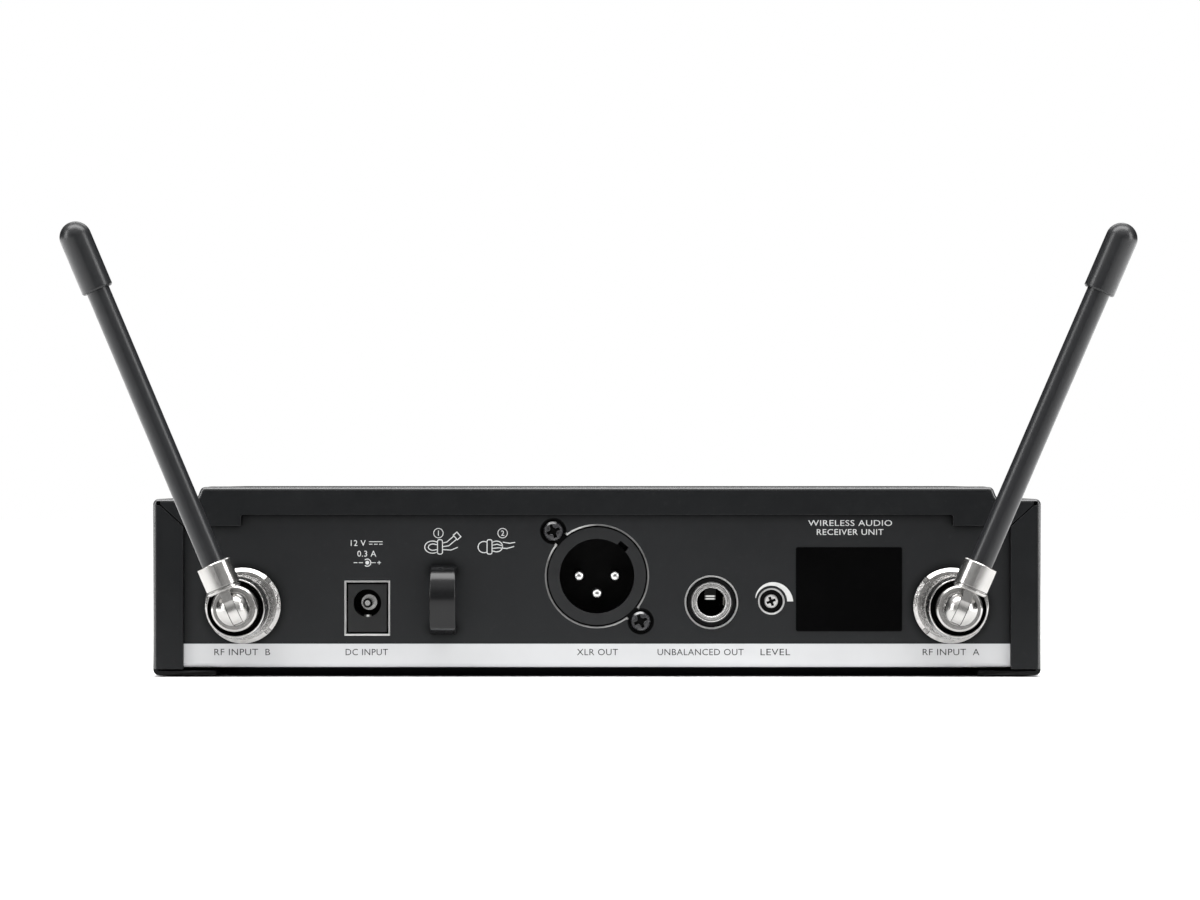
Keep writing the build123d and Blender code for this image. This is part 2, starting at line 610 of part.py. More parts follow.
# ---------------------------------------------------------------- antenna ports
# turned profiles, (radius, y)
BNC_JACK_PROFILE = [
    (3.5, 57.6), (6.0, 57.6), (6.3, 58.0), (6.3, 61.9), (8.2, 61.9),
    (8.2, 64.1), (6.3, 64.1), (6.3, PANEL_Y + 2.7), (4.8, PANEL_Y + 3.0),
    (4.8, 78.6), (4.55, 78.9), (4.08, 78.9), (4.08, 70.9), (3.5, 70.9),
]
BNC_NUT_PROFILE = [
    (6.36, PANEL_Y), (8.1, PANEL_Y), (8.4, PANEL_Y + 0.3), (8.4, PANEL_Y + 1.7),
    (7.6, PANEL_Y + 2.5), (6.36, PANEL_Y + 2.5),
]
BNC_INSULATOR_PROFILE = [
    (1.12, 58.6), (3.48, 58.6), (3.48, 70.9), (2.4, 71.3), (2.4, 74.4), (1.12, 74.4),
]
BNC_CONTACT_PROFILE = [
    (0, 56.0), (0.8, 56.0), (0.8, 58.4), (1.1, 58.6), (1.1, 74.8),
    (0.72, 74.8), (0.72, 66.0), (0, 66.0),
]


def bnc_jack(x):
    """Threaded shell with two bayonet lugs."""
    with BuildPart() as jack:
        turned_y(x, BNC_Z, BNC_JACK_PROFILE)
        for sign in (-1, 1):
            rod_x(74.1, BNC_Z, 0.95, x + sign * 4.4, x + sign * 5.5)
    return jack


for port, x in PORTS:
    save(bnc_jack(x), "bnc_jack_" + port)

with BuildPart() as bnc_nuts:
    for port, x in PORTS:
        turned_y(x, BNC_Z, BNC_NUT_PROFILE)
        # spanner slots across the face
        with BuildSketch(rear(x, PANEL_Y + 1.7, BNC_Z)) as slots:
            with PolarLocations(8.2, 4, start_angle=45):
                Rectangle(1.6, 1.5)
        extrude(slots.sketch, amount=1.2, mode=Mode.SUBTRACT)
save(bnc_nuts, "bnc_nuts")

# notched washers against the inner face of the panel
with BuildPart() as bnc_washers:
    for port, x in PORTS:
        with BuildSketch(rear(x, 64.1, BNC_Z)) as washer:
            Circle(8.6)
            Circle(6.4, mode=Mode.SUBTRACT)
            with PolarLocations(8.7, 12):
                Rectangle(1.0, 0.9, mode=Mode.SUBTRACT)
        extrude(washer.sketch, amount=0.6)
save(bnc_washers, "bnc_washers")

with BuildPart() as bnc_insulators:
    for port, x in PORTS:
        turned_y(x, BNC_Z, BNC_INSULATOR_PROFILE)
save(bnc_insulators, "bnc_insulators")

with BuildPart() as bnc_contacts:
    for port, x in PORTS:
        turned_y(x, BNC_Z, BNC_CONTACT_PROFILE)
save(bnc_contacts, "bnc_contacts")

# leads from the contacts down to sockets on the main board
LEAD_START_Y, LEAD_END_Y = 55.9, 47.9
LEAD_END_Z = 11.4
with BuildPart() as coax_leads:
    for port, x in PORTS:
        with BuildLine() as lead_path:
            Line((x, LEAD_START_Y, BNC_Z), (x, 51.5, BNC_Z))
            TangentArc((x, 51.5, BNC_Z), (x, LEAD_END_Y, 12.1), tangent=(0, -1, 0))
            Line((x, LEAD_END_Y, 12.1), (x, LEAD_END_Y, LEAD_END_Z))
        with BuildSketch(front(x, LEAD_START_Y, BNC_Z)) as lead_section:
            Circle(0.95)
        sweep(lead_section.sketch, path=lead_path.line)
save(coax_leads, "coax_leads")

with BuildPart() as coax_sockets:
    for port, x in PORTS:
        block(span(x, 4.4), span(LEAD_END_Y, 4.4), (PCB_TOP, LEAD_END_Z))
save(coax_sockets, "coax_sockets")

# ---------------------------------------------------------------- power inlet
with BuildPart() as dc_jack_body:
    body_x = span(DC_X, 8.6)
    block(body_x, (51.0, 65.6), (9.8, 20.4))
    block(body_x, (51.0, 60.0), (PCB_TOP, 9.8))
    rod_y(DC_X, DC_Z, 3.1, 55.5, 66.5, Mode.SUBTRACT)
    rod_y(DC_X, DC_Z, 1.07, 50.5, 56.5, Mode.SUBTRACT)
    # channel for the spring leaf under the barrel
    block(span(DC_X, 2.0), (54.0, 64.0), (12.3, 13.6), Mode.SUBTRACT)
save(dc_jack_body, "dc_jack_body")

# (radius, y)
DC_PIN_PROFILE = [
    (0, 51.0), (1.05, 51.0), (1.05, 55.5), (1.75, 55.5), (1.75, 56.3),
    (1.05, 56.3), (1.05, 64.1), (0.6, 64.6), (0, 64.6),
]
with BuildPart() as dc_jack_pin:
    turned_y(DC_X, DC_Z, DC_PIN_PROFILE)
save(dc_jack_pin, "dc_jack_pin")

# (y, z)
DC_SPRING_OUTLINE = [
    (54.3, 12.4), (62.0, 12.4), (63.4, 12.7), (62.2, 13.55), (61.8, 13.3),
    (62.4, 12.85), (61.6, 12.7), (54.3, 12.7),
]
with BuildPart() as dc_jack_spring:
    bent_leaf(DC_X, 1.6, DC_SPRING_OUTLINE)
save(dc_jack_spring, "dc_jack_spring")

# ---------------------------------------------------------------- cord tie-off
TIE_HALF_W = 2.95
# z limits of each leg and of the barb behind the panel
TIE_LEGS = [((22.65, 24.55), (22.65, 25.3)), ((9.35, 11.25), (8.6, 11.25))]
with BuildPart() as cord_tie_off:
    # arch in side view: outer curve, lower foot, inner curve, upper foot
    with BuildSketch(sideways(TIE_X - TIE_HALF_W, 0, 0)) as arch:
        with BuildLine():
            Spline((PANEL_Y, 24.8), (71.2, 23.1), (73.9, 17.6), (72.3, 11.7),
                   (PANEL_Y, 9.2), tangents=[(1, -0.05), (-1, -0.25)])
            Line((PANEL_Y, 9.2), (PANEL_Y, 11.4))
            Spline((PANEL_Y, 11.4), (70.4, 13.1), (71.7, 17.4), (69.7, 21.0),
                   (PANEL_Y, 22.4), tangents=[(1, 0.25), (-1, 0.1)])
            Line((PANEL_Y, 22.4), (PANEL_Y, 24.8))
        make_face()
    extrude(amount=2 * TIE_HALF_W)
    curved_edges = [
        e for e in cord_tie_off.edges()
        if abs(abs(e.center().X - TIE_X) - TIE_HALF_W) < 1e-4 and e.length > 6
    ]
    ease_if_possible(fillet, curved_edges, 0.5, "tie-off edges")
    # legs through the panel with small barbs behind it
    for leg_z, barb_z in TIE_LEGS:
        block(span(TIE_X, 5.2), (62.6, PANEL_Y + 0.2), leg_z)
        block(span(TIE_X, 5.2), (63.2, 64.6), barb_z)
save(cord_tie_off, "cord_tie_off")

# ---------------------------------------------------------------- balanced output
XLR_SCREWS = [
    (XLR_X + XLR_SCREW_DX, XLR_Z + XLR_SCREW_DZ),
    (XLR_X - XLR_SCREW_DX, XLR_Z - XLR_SCREW_DZ),
]
XLR_PINS = [(XLR_X + 4.0, XLR_Z), (XLR_X - 4.0, XLR_Z), (XLR_X, XLR_Z - 3.9)]
KEY_ANGLE = math.radians(49)   # key groove above the horizontal, towards -X
RECEPTACLE_R = 8.3

with BuildPart() as xlr_housing:
    rod_y(XLR_X, XLR_Z, 10.85, 64.0, 65.75)
    rod_y(XLR_X, XLR_Z, 12.3, 61.6, 64.65)
    rod_y(XLR_X, XLR_Z, 10.3, 47.0, 61.8)
    for x, z in XLR_SCREWS:
        rod_y(x, z, 3.4, 61.6, 64.65)
        rod_y(x, z, 1.8, 64.0, 65.2)
    block(span(XLR_X, 18), (47.0, 61.6), (PCB_TOP, 16.0))
    rod_y(XLR_X, XLR_Z, RECEPTACLE_R, 50.0, 66.5, Mode.SUBTRACT)
    # key groove of the receptacle at the upper right, seen from behind the receiver
    with BuildSketch(
        Plane(
            origin=(XLR_X, 52.0, XLR_Z),
            x_dir=(-math.cos(KEY_ANGLE), 0, math.sin(KEY_ANGLE)),
            z_dir=(0, 1, 0),
        )
    ) as key:
        with Locations((RECEPTACLE_R, 0)):
            Rectangle(2.2, 2.4)
    extrude(amount=15, mode=Mode.SUBTRACT)
    for x, z in XLR_PINS:
        rod_y(x, z, 1.6, 46.0, 51.0, Mode.SUBTRACT)
    for x, z in XLR_SCREWS:
        rod_y(x, z, 1.25, 61.0, 66.0, Mode.SUBTRACT)
save(xlr_housing, "xlr_housing")

with BuildPart() as xlr_insert:
    rod_y(XLR_X, XLR_Z, RECEPTACLE_R - 0.03, 50.0, 53.5)
    for x, z in XLR_PINS:
        rod_y(x, z, 1.23, 49.0, 54.0, Mode.SUBTRACT)
save(xlr_insert, "xlr_insert")

# (radius, y)
XLR_PIN_PROFILE = [
    (0, 44.5), (0.7, 44.5), (0.7, 49.0), (1.2, 49.2), (1.2, 63.4),
    (0.95, 64.0), (0.5, 64.3), (0, 64.4),
]
XLR_SCREW_PROFILE = [
    (0, 61.9), (1.2, 61.9), (1.2, 65.2), (2.15, 65.2), (2.15, 65.9),
    (1.9, 66.35), (1.3, 66.65), (0, 66.75),
]
with BuildPart() as xlr_pins:
    for x, z in XLR_PINS:
        turned_y(x, z, XLR_PIN_PROFILE)
save(xlr_pins, "xlr_pins")

with BuildPart() as xlr_screws:
    for x, z in XLR_SCREWS:
        turned_y(x, z, XLR_SCREW_PROFILE)
        cut_hubbed_cross(
            rear(x, 65.5, z), hub_radius=0.8, length=3.0, width=0.75, depth=1.6
        )
save(xlr_screws, "xlr_screws")

# ---------------------------------------------------------------- phone jack
with BuildPart() as phone_jack_body:
    block(span(JACK_X, 16.2), (38.0, 64.6), (PCB_TOP, 23.4))
    rod_y(JACK_X, JACK_Z, 5.3, 64.5, 66.2)
    rod_y(JACK_X, JACK_Z, 4.62, 58.0, 67.0, Mode.SUBTRACT)
    rod_y(JACK_X, JACK_Z, 3.4, 41.0, 59.0, Mode.SUBTRACT)
    # pocket over the bore where the contact leaf springs
    block(span(JACK_X, 3.2), (42.0, 57.9), (JACK_Z + 1.0, JACK_Z + 5.6), Mode.SUBTRACT)
save(phone_jack_body, "phone_jack_body")

# (radius, y)
JACK_SLEEVE_PROFILE = [
    (3.4, 58.0), (4.6, 58.0), (4.6, 65.7), (4.4, 65.9), (4.25, 65.9),
    (4.1, 65.4), (3.95, 65.4), (3.8, 65.7), (3.65, 65.4), (3.5, 65.6),
    (3.2, 65.2), (3.2, 60.0), (3.4, 59.8),
]
with BuildPart() as phone_jack_sleeve:
    turned_y(JACK_X, JACK_Z, JACK_SLEEVE_PROFILE)
save(phone_jack_sleeve, "phone_jack_sleeve")

# (y, height above the jack axis)
TIP_LEAF_OUTLINE = [
    (42.4, 5.3), (56.8, 5.3), (57.2, 5.0), (52.4, 0.7), (50.4, 1.7),
    (50.1, 1.4), (52.5, 0.2), (57.6, 4.6), (57.6, 5.6), (42.4, 5.6),
]
with BuildPart() as phone_jack_contacts:
    bent_leaf(JACK_X, 2.5, [(y, JACK_Z + above) for y, above in TIP_LEAF_OUTLINE])
    # sleeve contact, a narrow leaf along the side of the bore
    block((JACK_X - 3.22, JACK_X - 2.85), (44.0, 55.0), span(JACK_Z, 2.0))
save(phone_jack_contacts, "phone_jack_contacts")

# ---------------------------------------------------------------- level trim
with BuildPart() as volume_pot_body:
    block(span(VOLUME_X, 9.2), (55.5, 61.5), (PCB_TOP, 22.2))
    rod_y(VOLUME_X, VOLUME_Z, 2.45, 61.4, 64.6)
    rod_y(VOLUME_X, VOLUME_Z, 1.59, 55.0, 65.0, Mode.SUBTRACT)
    rod_y(VOLUME_X, VOLUME_Z, 3.4, 57.0, 59.0, Mode.SUBTRACT)
save(volume_pot_body, "volume_pot_body")

# (radius, y)
VOLUME_SHAFT_PROFILE = [
    (0, 55.5), (1.53, 55.5), (1.53, 57.1), (3.2, 57.1), (3.2, 58.9),
    (1.53, 58.9), (1.53, 65.0), (1.33, 65.2), (0, 65.2),
]
with BuildPart() as volume_shaft:
    turned_y(VOLUME_X, VOLUME_Z, VOLUME_SHAFT_PROFILE)
    cut_hubbed_cross(
        rear(VOLUME_X, 64.2, VOLUME_Z), hub_radius=0.5, length=2.1, width=0.58, depth=1.2
    )
save(volume_shaft, "volume_shaft")

# ---------------------------------------------------------------- blank label
with BuildPart() as rating_label:
    rounded_bar(rear(-55.95, PANEL_Y, 19.3), 23.5, 18.6, 0.4, 0.12)
save(rating_label, "rating_label")

# ---------------------------------------------------------------- antennas
LEAN = {"a": 23.4, "b": 22.9}   # outward lean from the vertical, degrees
ELBOW_Y = PANEL_Y + 32.2        # elbow axis
DOME_R = 3.6
WHIP_START = 6.5                # elbow axis to the lower end of the whip

# turned profiles, (radius, y)
RING_NECK_PROFILE = [
    (0, 83.6), (6.45, 83.6), (6.45, 84.1), (6.8, 84.4), (6.8, 84.9),
    (6.45, 89.3), (6.4, 89.8), (6.25, 90.0), (0, 90.0),
]
RING_BORE_PROFILE = [
    (0, 69.0), (4.9, 69.0), (4.9, 77.3), (5.9, 77.3), (5.9, 79.7),
    (5.1, 79.7), (5.1, 80.6), (6.1, 80.6), (6.1, 90.4), (0, 90.4),
]
LUG_CHANNEL_PROFILE = [(4.7, 73.0), (5.65, 73.0), (5.65, 75.2), (4.7, 75.2)]
PLUG_PROFILE = [
    (3.55, 71.1), (4.0, 71.1), (4.0, 78.95), (5.75, 78.95), (5.75, 79.6),
    (5.0, 79.6), (5.0, ELBOW_Y - 4.7), (4.6, ELBOW_Y - 4.2), (DOME_R, ELBOW_Y - 4.2),
    (DOME_R, ELBOW_Y), (0, ELBOW_Y), (0, 84.2), (3.55, 84.2),
]
PLUG_INSULATOR_PROFILE = [(0.7, 75.6), (3.5, 75.6), (3.5, 84.2), (0.7, 84.2)]
PLUG_CONTACT_PROFILE = [(0, 68.2), (0.35, 68.4), (0.67, 69.2), (0.67, 84.1), (0, 84.1)]
# (distance from the elbow axis along the whip, radius)
FERRULE_PROFILE = [
    (4.3, 0), (4.3, 3.5), (4.5, 3.75), (4.85, 3.75), (4.95, 3.5),
    (5.15, 3.5), (5.3, 3.8), (10.45, 3.8), (10.7, 3.55), (10.7, 0),
]


def elbow_plane(port, x):
    """Plane through the elbow: first axis along the whip, second +Y, normal the elbow axis."""
    outward = -1 if port == "a" else 1
    lean = math.radians(LEAN[port])
    whip_x, whip_z = outward * math.sin(lean), math.cos(lean)
    return Plane(
        origin=(x, ELBOW_Y, BNC_Z), x_dir=(whip_x, 0, whip_z), z_dir=(-whip_z, 0, whip_x)
    )


def whip_axis(elbow):
    return Axis(elbow.origin, elbow.x_dir)


def whip_end_plane(elbow):
    """Plane across the lower end of the whip, facing along it."""
    return Plane(
        origin=elbow.origin + elbow.x_dir * WHIP_START, x_dir=(0, 1, 0), z_dir=elbow.x_dir
    )


def antenna_ring(x):
    """Bayonet coupling ring, knurled outside, with channels for the lugs inside."""
    with BuildPart() as ring:
        with BuildSketch(rear(x, 69.2, BNC_Z)) as knurl:
            Circle(7.0)
            with PolarLocations(7.12, 40):
                Rectangle(0.42, 0.42, rotation=45, mode=Mode.SUBTRACT)
        extrude(amount=14.4)
        turned_y(x, BNC_Z, RING_NECK_PROFILE)
        turned_y(x, BNC_Z, RING_BORE_PROFILE, mode=Mode.SUBTRACT)
        # part-turn channels, each with an entry slot to the ring's mouth
        for turn, direction in ((0, 1), (180, -1)):
            turned_y(
                x, BNC_Z, LUG_CHANNEL_PROFILE,
                mode=Mode.SUBTRACT, arc=116.0, start=turn + 103.0,
            )
            block(
                span(x, 2.2), (69.0, 75.2), (BNC_Z, BNC_Z + direction * 5.55), Mode.SUBTRACT
            )
    return ring


def antenna_plug(x, elbow):
    """Plug body: inner shell, collar, barrel and slotted elbow dome."""
    with BuildPart() as plug:
        turned_y(x, BNC_Z, PLUG_PROFILE)
        with BuildSketch(elbow) as dome:
            with BuildLine():
                Line((0, DOME_R), (0, 0))
                Line((0, 0), (DOME_R, 0))
                CenterArc((0, 0), DOME_R, 0, 90)
            make_face()
        revolve(dome.sketch, axis=Axis(elbow.origin, (0, 1, 0)))
        with BuildSketch(elbow) as slot:
            with Locations((2.5, 1.275)):
                Rectangle(15.0, 9.45)
        extrude(slot.sketch, amount=1.15, both=True, mode=Mode.SUBTRACT)
        with BuildSketch(elbow) as pin_hole:
            Circle(0.96)
        extrude(pin_hole.sketch, amount=5, both=True, mode=Mode.SUBTRACT)
    return plug


def turned_piece(x, points):
    """Piece turned about an antenna port's axis."""
    with BuildPart() as piece:
        turned_y(x, BNC_Z, points)
    return piece


def antenna_hinge_pin(elbow):
    with BuildPart() as hinge_pin:
        with BuildSketch(elbow) as pin_section:
            Circle(0.94)
        extrude(amount=3.45, both=True)
    return hinge_pin


def antenna_ferrule(elbow):
    """Ferrule with the flat tongue that sits in the dome's slot."""
    with BuildPart() as ferrule:
        with BuildSketch(elbow) as tongue:
            Circle(3.25)
            with Locations((2.6, 0)):
                Rectangle(5.2, 5.2)
        extrude(amount=1.05, both=True)
        with BuildSketch(elbow) as ferrule_half:
            with BuildLine():
                Polyline(*FERRULE_PROFILE, close=True)
            make_face()
        revolve(ferrule_half.sketch, axis=whip_axis(elbow))
        with BuildSketch(whip_end_plane(elbow)) as socket:
            Circle(2.57)
        extrude(socket.sketch, amount=6, mode=Mode.SUBTRACT)
        with BuildSketch(elbow) as eye:
            Circle(1.0)
        extrude(eye.sketch, amount=4, both=True, mode=Mode.SUBTRACT)
    return ferrule


def antenna_whip(elbow):
    with BuildPart() as whip:
        with BuildSketch(whip_end_plane(elbow)) as whip_section:
            Circle(2.55)
        extrude(amount=75.6)
    return whip


def antenna_boot(elbow):
    """Round-ended cap over the tip of the whip."""
    with BuildPart() as boot:
        with BuildSketch(elbow) as boot_half:
            with BuildLine():
                Polyline((82.2, 0), (82.2, 2.57), (74.65, 2.57), (74.65, 3.2),
                         (74.95, 3.45), (87.0, 3.45))
                CenterArc((87.0, 0), 3.45, 0, 90)
                Line((90.45, 0), (82.2, 0))
            make_face()
        revolve(boot_half.sketch, axis=whip_axis(elbow))
    return boot


for port, x in PORTS:
    elbow = elbow_plane(port, x)
    prefix = "antenna_" + port
    save(antenna_ring(x), prefix + "_ring")
    save(antenna_plug(x, elbow), prefix + "_plug")
    save(turned_piece(x, PLUG_INSULATOR_PROFILE), prefix + "_insulator")
    save(turned_piece(x, PLUG_CONTACT_PROFILE), prefix + "_contact")
    save(antenna_hinge_pin(elbow), prefix + "_hinge_pin")
    save(antenna_ferrule(elbow), prefix + "_ferrule")
    save(antenna_whip(elbow), prefix + "_whip")
    save(antenna_boot(elbow), prefix + "_boot")
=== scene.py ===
"""A half-rack wireless audio receiver, standing on a pale floor and seen from the rear.

X runs along the panels, Y from the front bezel (-Y) to the rear panel (+Y) and Z up.
Seen from the rear, +X is on the left. The CAD pieces get their finishes here, and thin
printed shapes are laid on the two panels. Lengths are in mm and are scaled by MM where
they reach Blender; the stage, lights and camera are in metres.
"""

import math

import bmesh
import bpy
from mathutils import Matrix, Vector

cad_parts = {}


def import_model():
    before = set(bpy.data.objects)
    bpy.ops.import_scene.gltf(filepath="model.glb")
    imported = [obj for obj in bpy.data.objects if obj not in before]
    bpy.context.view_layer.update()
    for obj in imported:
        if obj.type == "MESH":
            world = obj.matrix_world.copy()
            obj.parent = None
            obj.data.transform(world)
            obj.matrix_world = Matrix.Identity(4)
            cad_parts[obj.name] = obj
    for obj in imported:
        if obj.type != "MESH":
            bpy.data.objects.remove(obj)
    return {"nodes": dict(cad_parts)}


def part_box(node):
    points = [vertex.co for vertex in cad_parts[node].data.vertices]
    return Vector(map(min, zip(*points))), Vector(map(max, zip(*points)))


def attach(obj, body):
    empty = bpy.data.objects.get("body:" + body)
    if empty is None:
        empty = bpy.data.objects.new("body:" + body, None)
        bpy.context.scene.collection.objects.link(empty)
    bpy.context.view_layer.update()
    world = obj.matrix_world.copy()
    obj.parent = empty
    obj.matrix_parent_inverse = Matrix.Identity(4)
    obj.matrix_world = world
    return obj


cad_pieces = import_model()["nodes"]
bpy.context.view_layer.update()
scene = bpy.context.scene

MM = 0.001

# (x, z) of the axes along Y on the rear panel
XLR_AXIS = (0.0, 22.2)
XLR_SCREWS = ((9.7, 32.2), (-9.7, 12.2))
XLR_PINS = ((4.0, 22.2), (-4.0, 22.2), (0.0, 18.3))
TRIM_AXIS = (-38.7, 16.6)
PHONE_AXIS = (-25.4, 16.4)
DC_AXIS = (51.0, 16.2)
ANTENNA_AXES = {"a": (-78.5, 15.7), "b": (78.5, 15.7)}

# ------------------------------------------------------------------ node helpers


def set_inputs(tree, node, inputs):
    """Links or sets inputs, given as {socket name or number: output socket or value}."""
    for key, value in inputs.items():
        socket = node.inputs[key]
        if isinstance(value, bpy.types.NodeSocket):
            tree.links.new(value, socket)
        elif socket.type == "RGBA":
            socket.default_value = (*value, 1.0)
        else:
            socket.default_value = value


def add_node(tree, kind, inputs=None, **settings):
    node = tree.nodes.new("ShaderNode" + kind)
    for key, value in settings.items():
        setattr(node, key, value)
    set_inputs(tree, node, inputs or {})
    return node


def new_material(name):
    material = bpy.data.materials.new(name)
    material.use_nodes = True
    tree = material.node_tree
    tree.nodes.clear()
    output = add_node(tree, "OutputMaterial")
    shader = add_node(tree, "BsdfPrincipled")
    tree.links.new(shader.outputs["BSDF"], output.inputs["Surface"])
    return material, tree, shader


def principled(material):
    return next(n for n in material.node_tree.nodes if n.type == "BSDF_PRINCIPLED")


def coords(tree, squash=None):
    """Object coordinates, in metres, if wanted squashed along an axis for a directional grain."""
    place = add_node(tree, "TexCoord").outputs["Object"]
    if squash:
        place = add_node(tree, "Mapping", {"Scale": squash, "Vector": place}).outputs["Vector"]
    return place


def noise(tree, place, scale, detail=3.0, rough=0.55):
    inputs = {"Scale": scale, "Detail": detail, "Roughness": rough, "Vector": place}
    return add_node(tree, "TexNoise", inputs).outputs["Fac"]


def ranged(tree, value, onto=(0.0, 1.0), span=(0.3, 0.7), smooth=False):
    """Maps a value from the span onto another pair of ends."""
    inputs = {
        "From Min": span[0], "From Max": span[1], "To Min": onto[0], "To Max": onto[1],
        "Value": value,
    }
    way = "SMOOTHSTEP" if smooth else "LINEAR"
    return add_node(tree, "MapRange", inputs, interpolation_type=way).outputs["Result"]


def blend_colours(tree, share, first, second):
    # sockets 6, 7 and output 2 are the colour ones
    inputs = {"Factor": share, 6: first, 7: second}
    return add_node(tree, "Mix", inputs, data_type="RGBA").outputs[2]


def maths(tree, operation, *values):
    return add_node(tree, "Math", dict(enumerate(values)), operation=operation).outputs[0]


def bump(tree, height, strength, depth, normal=None):
    """A bumped normal; depth in mm."""
    inputs = {"Strength": strength, "Distance": depth * MM, "Height": height}
    if normal is not None:
        inputs["Normal"] = normal
    return add_node(tree, "Bump", inputs).outputs["Normal"]


def bevel(tree, radius, samples):
    """A normal softened round the corners; radius in mm."""
    return add_node(tree, "Bevel", {"Radius": radius * MM}, samples=samples).outputs["Normal"]


def from_axis(tree, axis):
    """Offsets in x and z from an axis along Y, and the distance from it."""
    place = add_node(tree, "SeparateXYZ", {0: coords(tree)})
    dx = maths(tree, "SUBTRACT", place.outputs["X"], axis[0] * MM)
    dz = maths(tree, "SUBTRACT", place.outputs["Z"], axis[1] * MM)
    square_x = maths(tree, "MULTIPLY", dx, dx)
    square_z = maths(tree, "MULTIPLY", dz, dz)
    radius = maths(tree, "SQRT", maths(tree, "ADD", square_x, square_z))
    return dx, dz, radius


def ring_wave(tree, axis, pitch):
    """A wave by distance from an axis, -1 to 1."""
    radius = from_axis(tree, axis)[2]
    return maths(tree, "SINE", maths(tree, "MULTIPLY", radius, 2 * math.pi / (pitch * MM)))


def glint_arc(tree, axis, way, inner, back):
    """Share of a glint on the side of an axis that way (x, z) points to, outside the inner
    radius; back is the share of the opposite side."""
    dx, dz, radius = from_axis(tree, axis)
    along_x = maths(tree, "MULTIPLY", dx, way[0])
    along_z = maths(tree, "MULTIPLY", dz, way[1])
    dot = maths(tree, "ADD", along_x, along_z)
    along = maths(tree, "DIVIDE", dot, maths(tree, "ADD", radius, 1e-6))
    arc_share = maths(
        tree, "ADD", ranged(tree, along, span=(0.80, 0.97)),
        ranged(tree, along, onto=(back, 0.0), span=(-0.97, -0.80)),
    )
    outside = ranged(tree, radius, span=(inner * MM, (inner + 0.25) * MM))
    return maths(tree, "MULTIPLY", arc_share, outside)


def paler_edge_share(tree, place, width):
    """Share of a paler colour along the corners, broken up by noise; width in mm."""
    dot = add_node(tree, "VectorMath", {
        0: bevel(tree, width, samples=4),
        1: add_node(tree, "NewGeometry").outputs["Normal"],
    }, operation="DOT_PRODUCT")
    paler_share = ranged(tree, dot.outputs["Value"], onto=(1.0, 0.0), span=(0.75, 0.97))
    patches = noise(tree, place, scale=700.0)
    broken = ranged(tree, patches, onto=(0.35, 1.0), span=(0.35, 0.6))
    return maths(tree, "MULTIPLY", paler_share, broken)


def surface(
    name, base, alt, drift, metallic=0.0, rough=0.45, rough_var=0.06, rough_scale=400.0,
    spec=0.5, grain=2500.0, grain_mm=0.01, grain_strength=0.35, stretch=None, coat=0.0,
    coat_rough=0.15, edge=None, edge_mm=0.25, round_mm=0.0, dust=0.0, painted_shade_mm=0.0,
    painted_shade_floor=0.25, thread_shade=None, glint=None,
):
    """One finish. Its colour drifts between base and alt at noise scale drift, and its
    roughness by rough_var; a grain of depth grain_mm lies in the normal, stretched along an
    axis by stretch.
    If wanted: a clear coat, edges paler in colour edge, corners rounded by round_mm, a share
    of dust, painted shade in creases (within a reach in mm, down to a least share), painted
    shade in the grooves of threads with a bump to match (axis, pitch, darkest share, depth)
    and a painted highlight arc (glint: see glint_arc, and its colour)."""
    material, tree, shader = new_material(name)
    grain_place = coords(tree, stretch)
    place = coords(tree)
    patches = noise(tree, place, scale=drift, detail=4.0, rough=0.6)
    colour = blend_colours(tree, ranged(tree, patches), base, alt)
    fine = noise(tree, grain_place, scale=grain, rough=0.6)
    roughness = ranged(
        tree, noise(tree, grain_place, scale=rough_scale, detail=4.0, rough=0.6),
        onto=(rough - rough_var, rough + rough_var),
    )
    if dust:
        specks = noise(tree, place, scale=900.0, detail=2.0, rough=0.5)
        dusty = ranged(tree, specks, onto=(0.0, dust), span=(0.62, 0.8))
        colour = blend_colours(tree, dusty, colour, (0.35, 0.35, 0.34))
    # painted shade: darker rings in the grooves of threads round an axis, with a bump to match
    if thread_shade:
        wave = ring_wave(tree, thread_shade["axis"], thread_shade["pitch"])
        lit = ranged(tree, wave, onto=(thread_shade["darkest"], 1.0), span=(-0.9, 0.6))
        colour = blend_colours(tree, lit, (0.03, 0.03, 0.03), colour)
    # painted highlight: a paler arc on one side of an axis
    if glint:
        share = glint_arc(tree, glint["axis"], glint["way"], glint["inner"], glint["back"])
        colour = blend_colours(tree, share, colour, glint["colour"])
    normal = bevel(tree, round_mm, samples=6) if round_mm else None
    if thread_shade:
        normal = bump(tree, wave, strength=1.0, depth=thread_shade["depth"], normal=normal)
    if edge:
        colour = blend_colours(tree, paler_edge_share(tree, place, edge_mm), colour, edge)
    normal = bump(tree, fine, strength=grain_strength, depth=grain_mm, normal=normal)
    # painted shade: colour and specular darkened where ambient occlusion finds a crease
    if painted_shade_mm:
        hollow = add_node(
            tree, "AmbientOcclusion", {"Distance": painted_shade_mm * MM}, samples=6
        ).outputs["AO"]
        shade = ranged(tree, hollow, onto=(painted_shade_floor, 1.0), span=(0.3, 0.92))
        colour = blend_colours(tree, shade, (0.0, 0.0, 0.0), colour)
        spec = maths(tree, "MULTIPLY", shade, spec)
    set_inputs(tree, shader, {
        "Normal": normal, "Specular IOR Level": spec, "Base Color": colour,
        "Roughness": roughness, "Metallic": metallic,
    })
    if coat:
        set_inputs(tree, shader, {"Coat Weight": coat, "Coat Roughness": coat_rough})
    return material


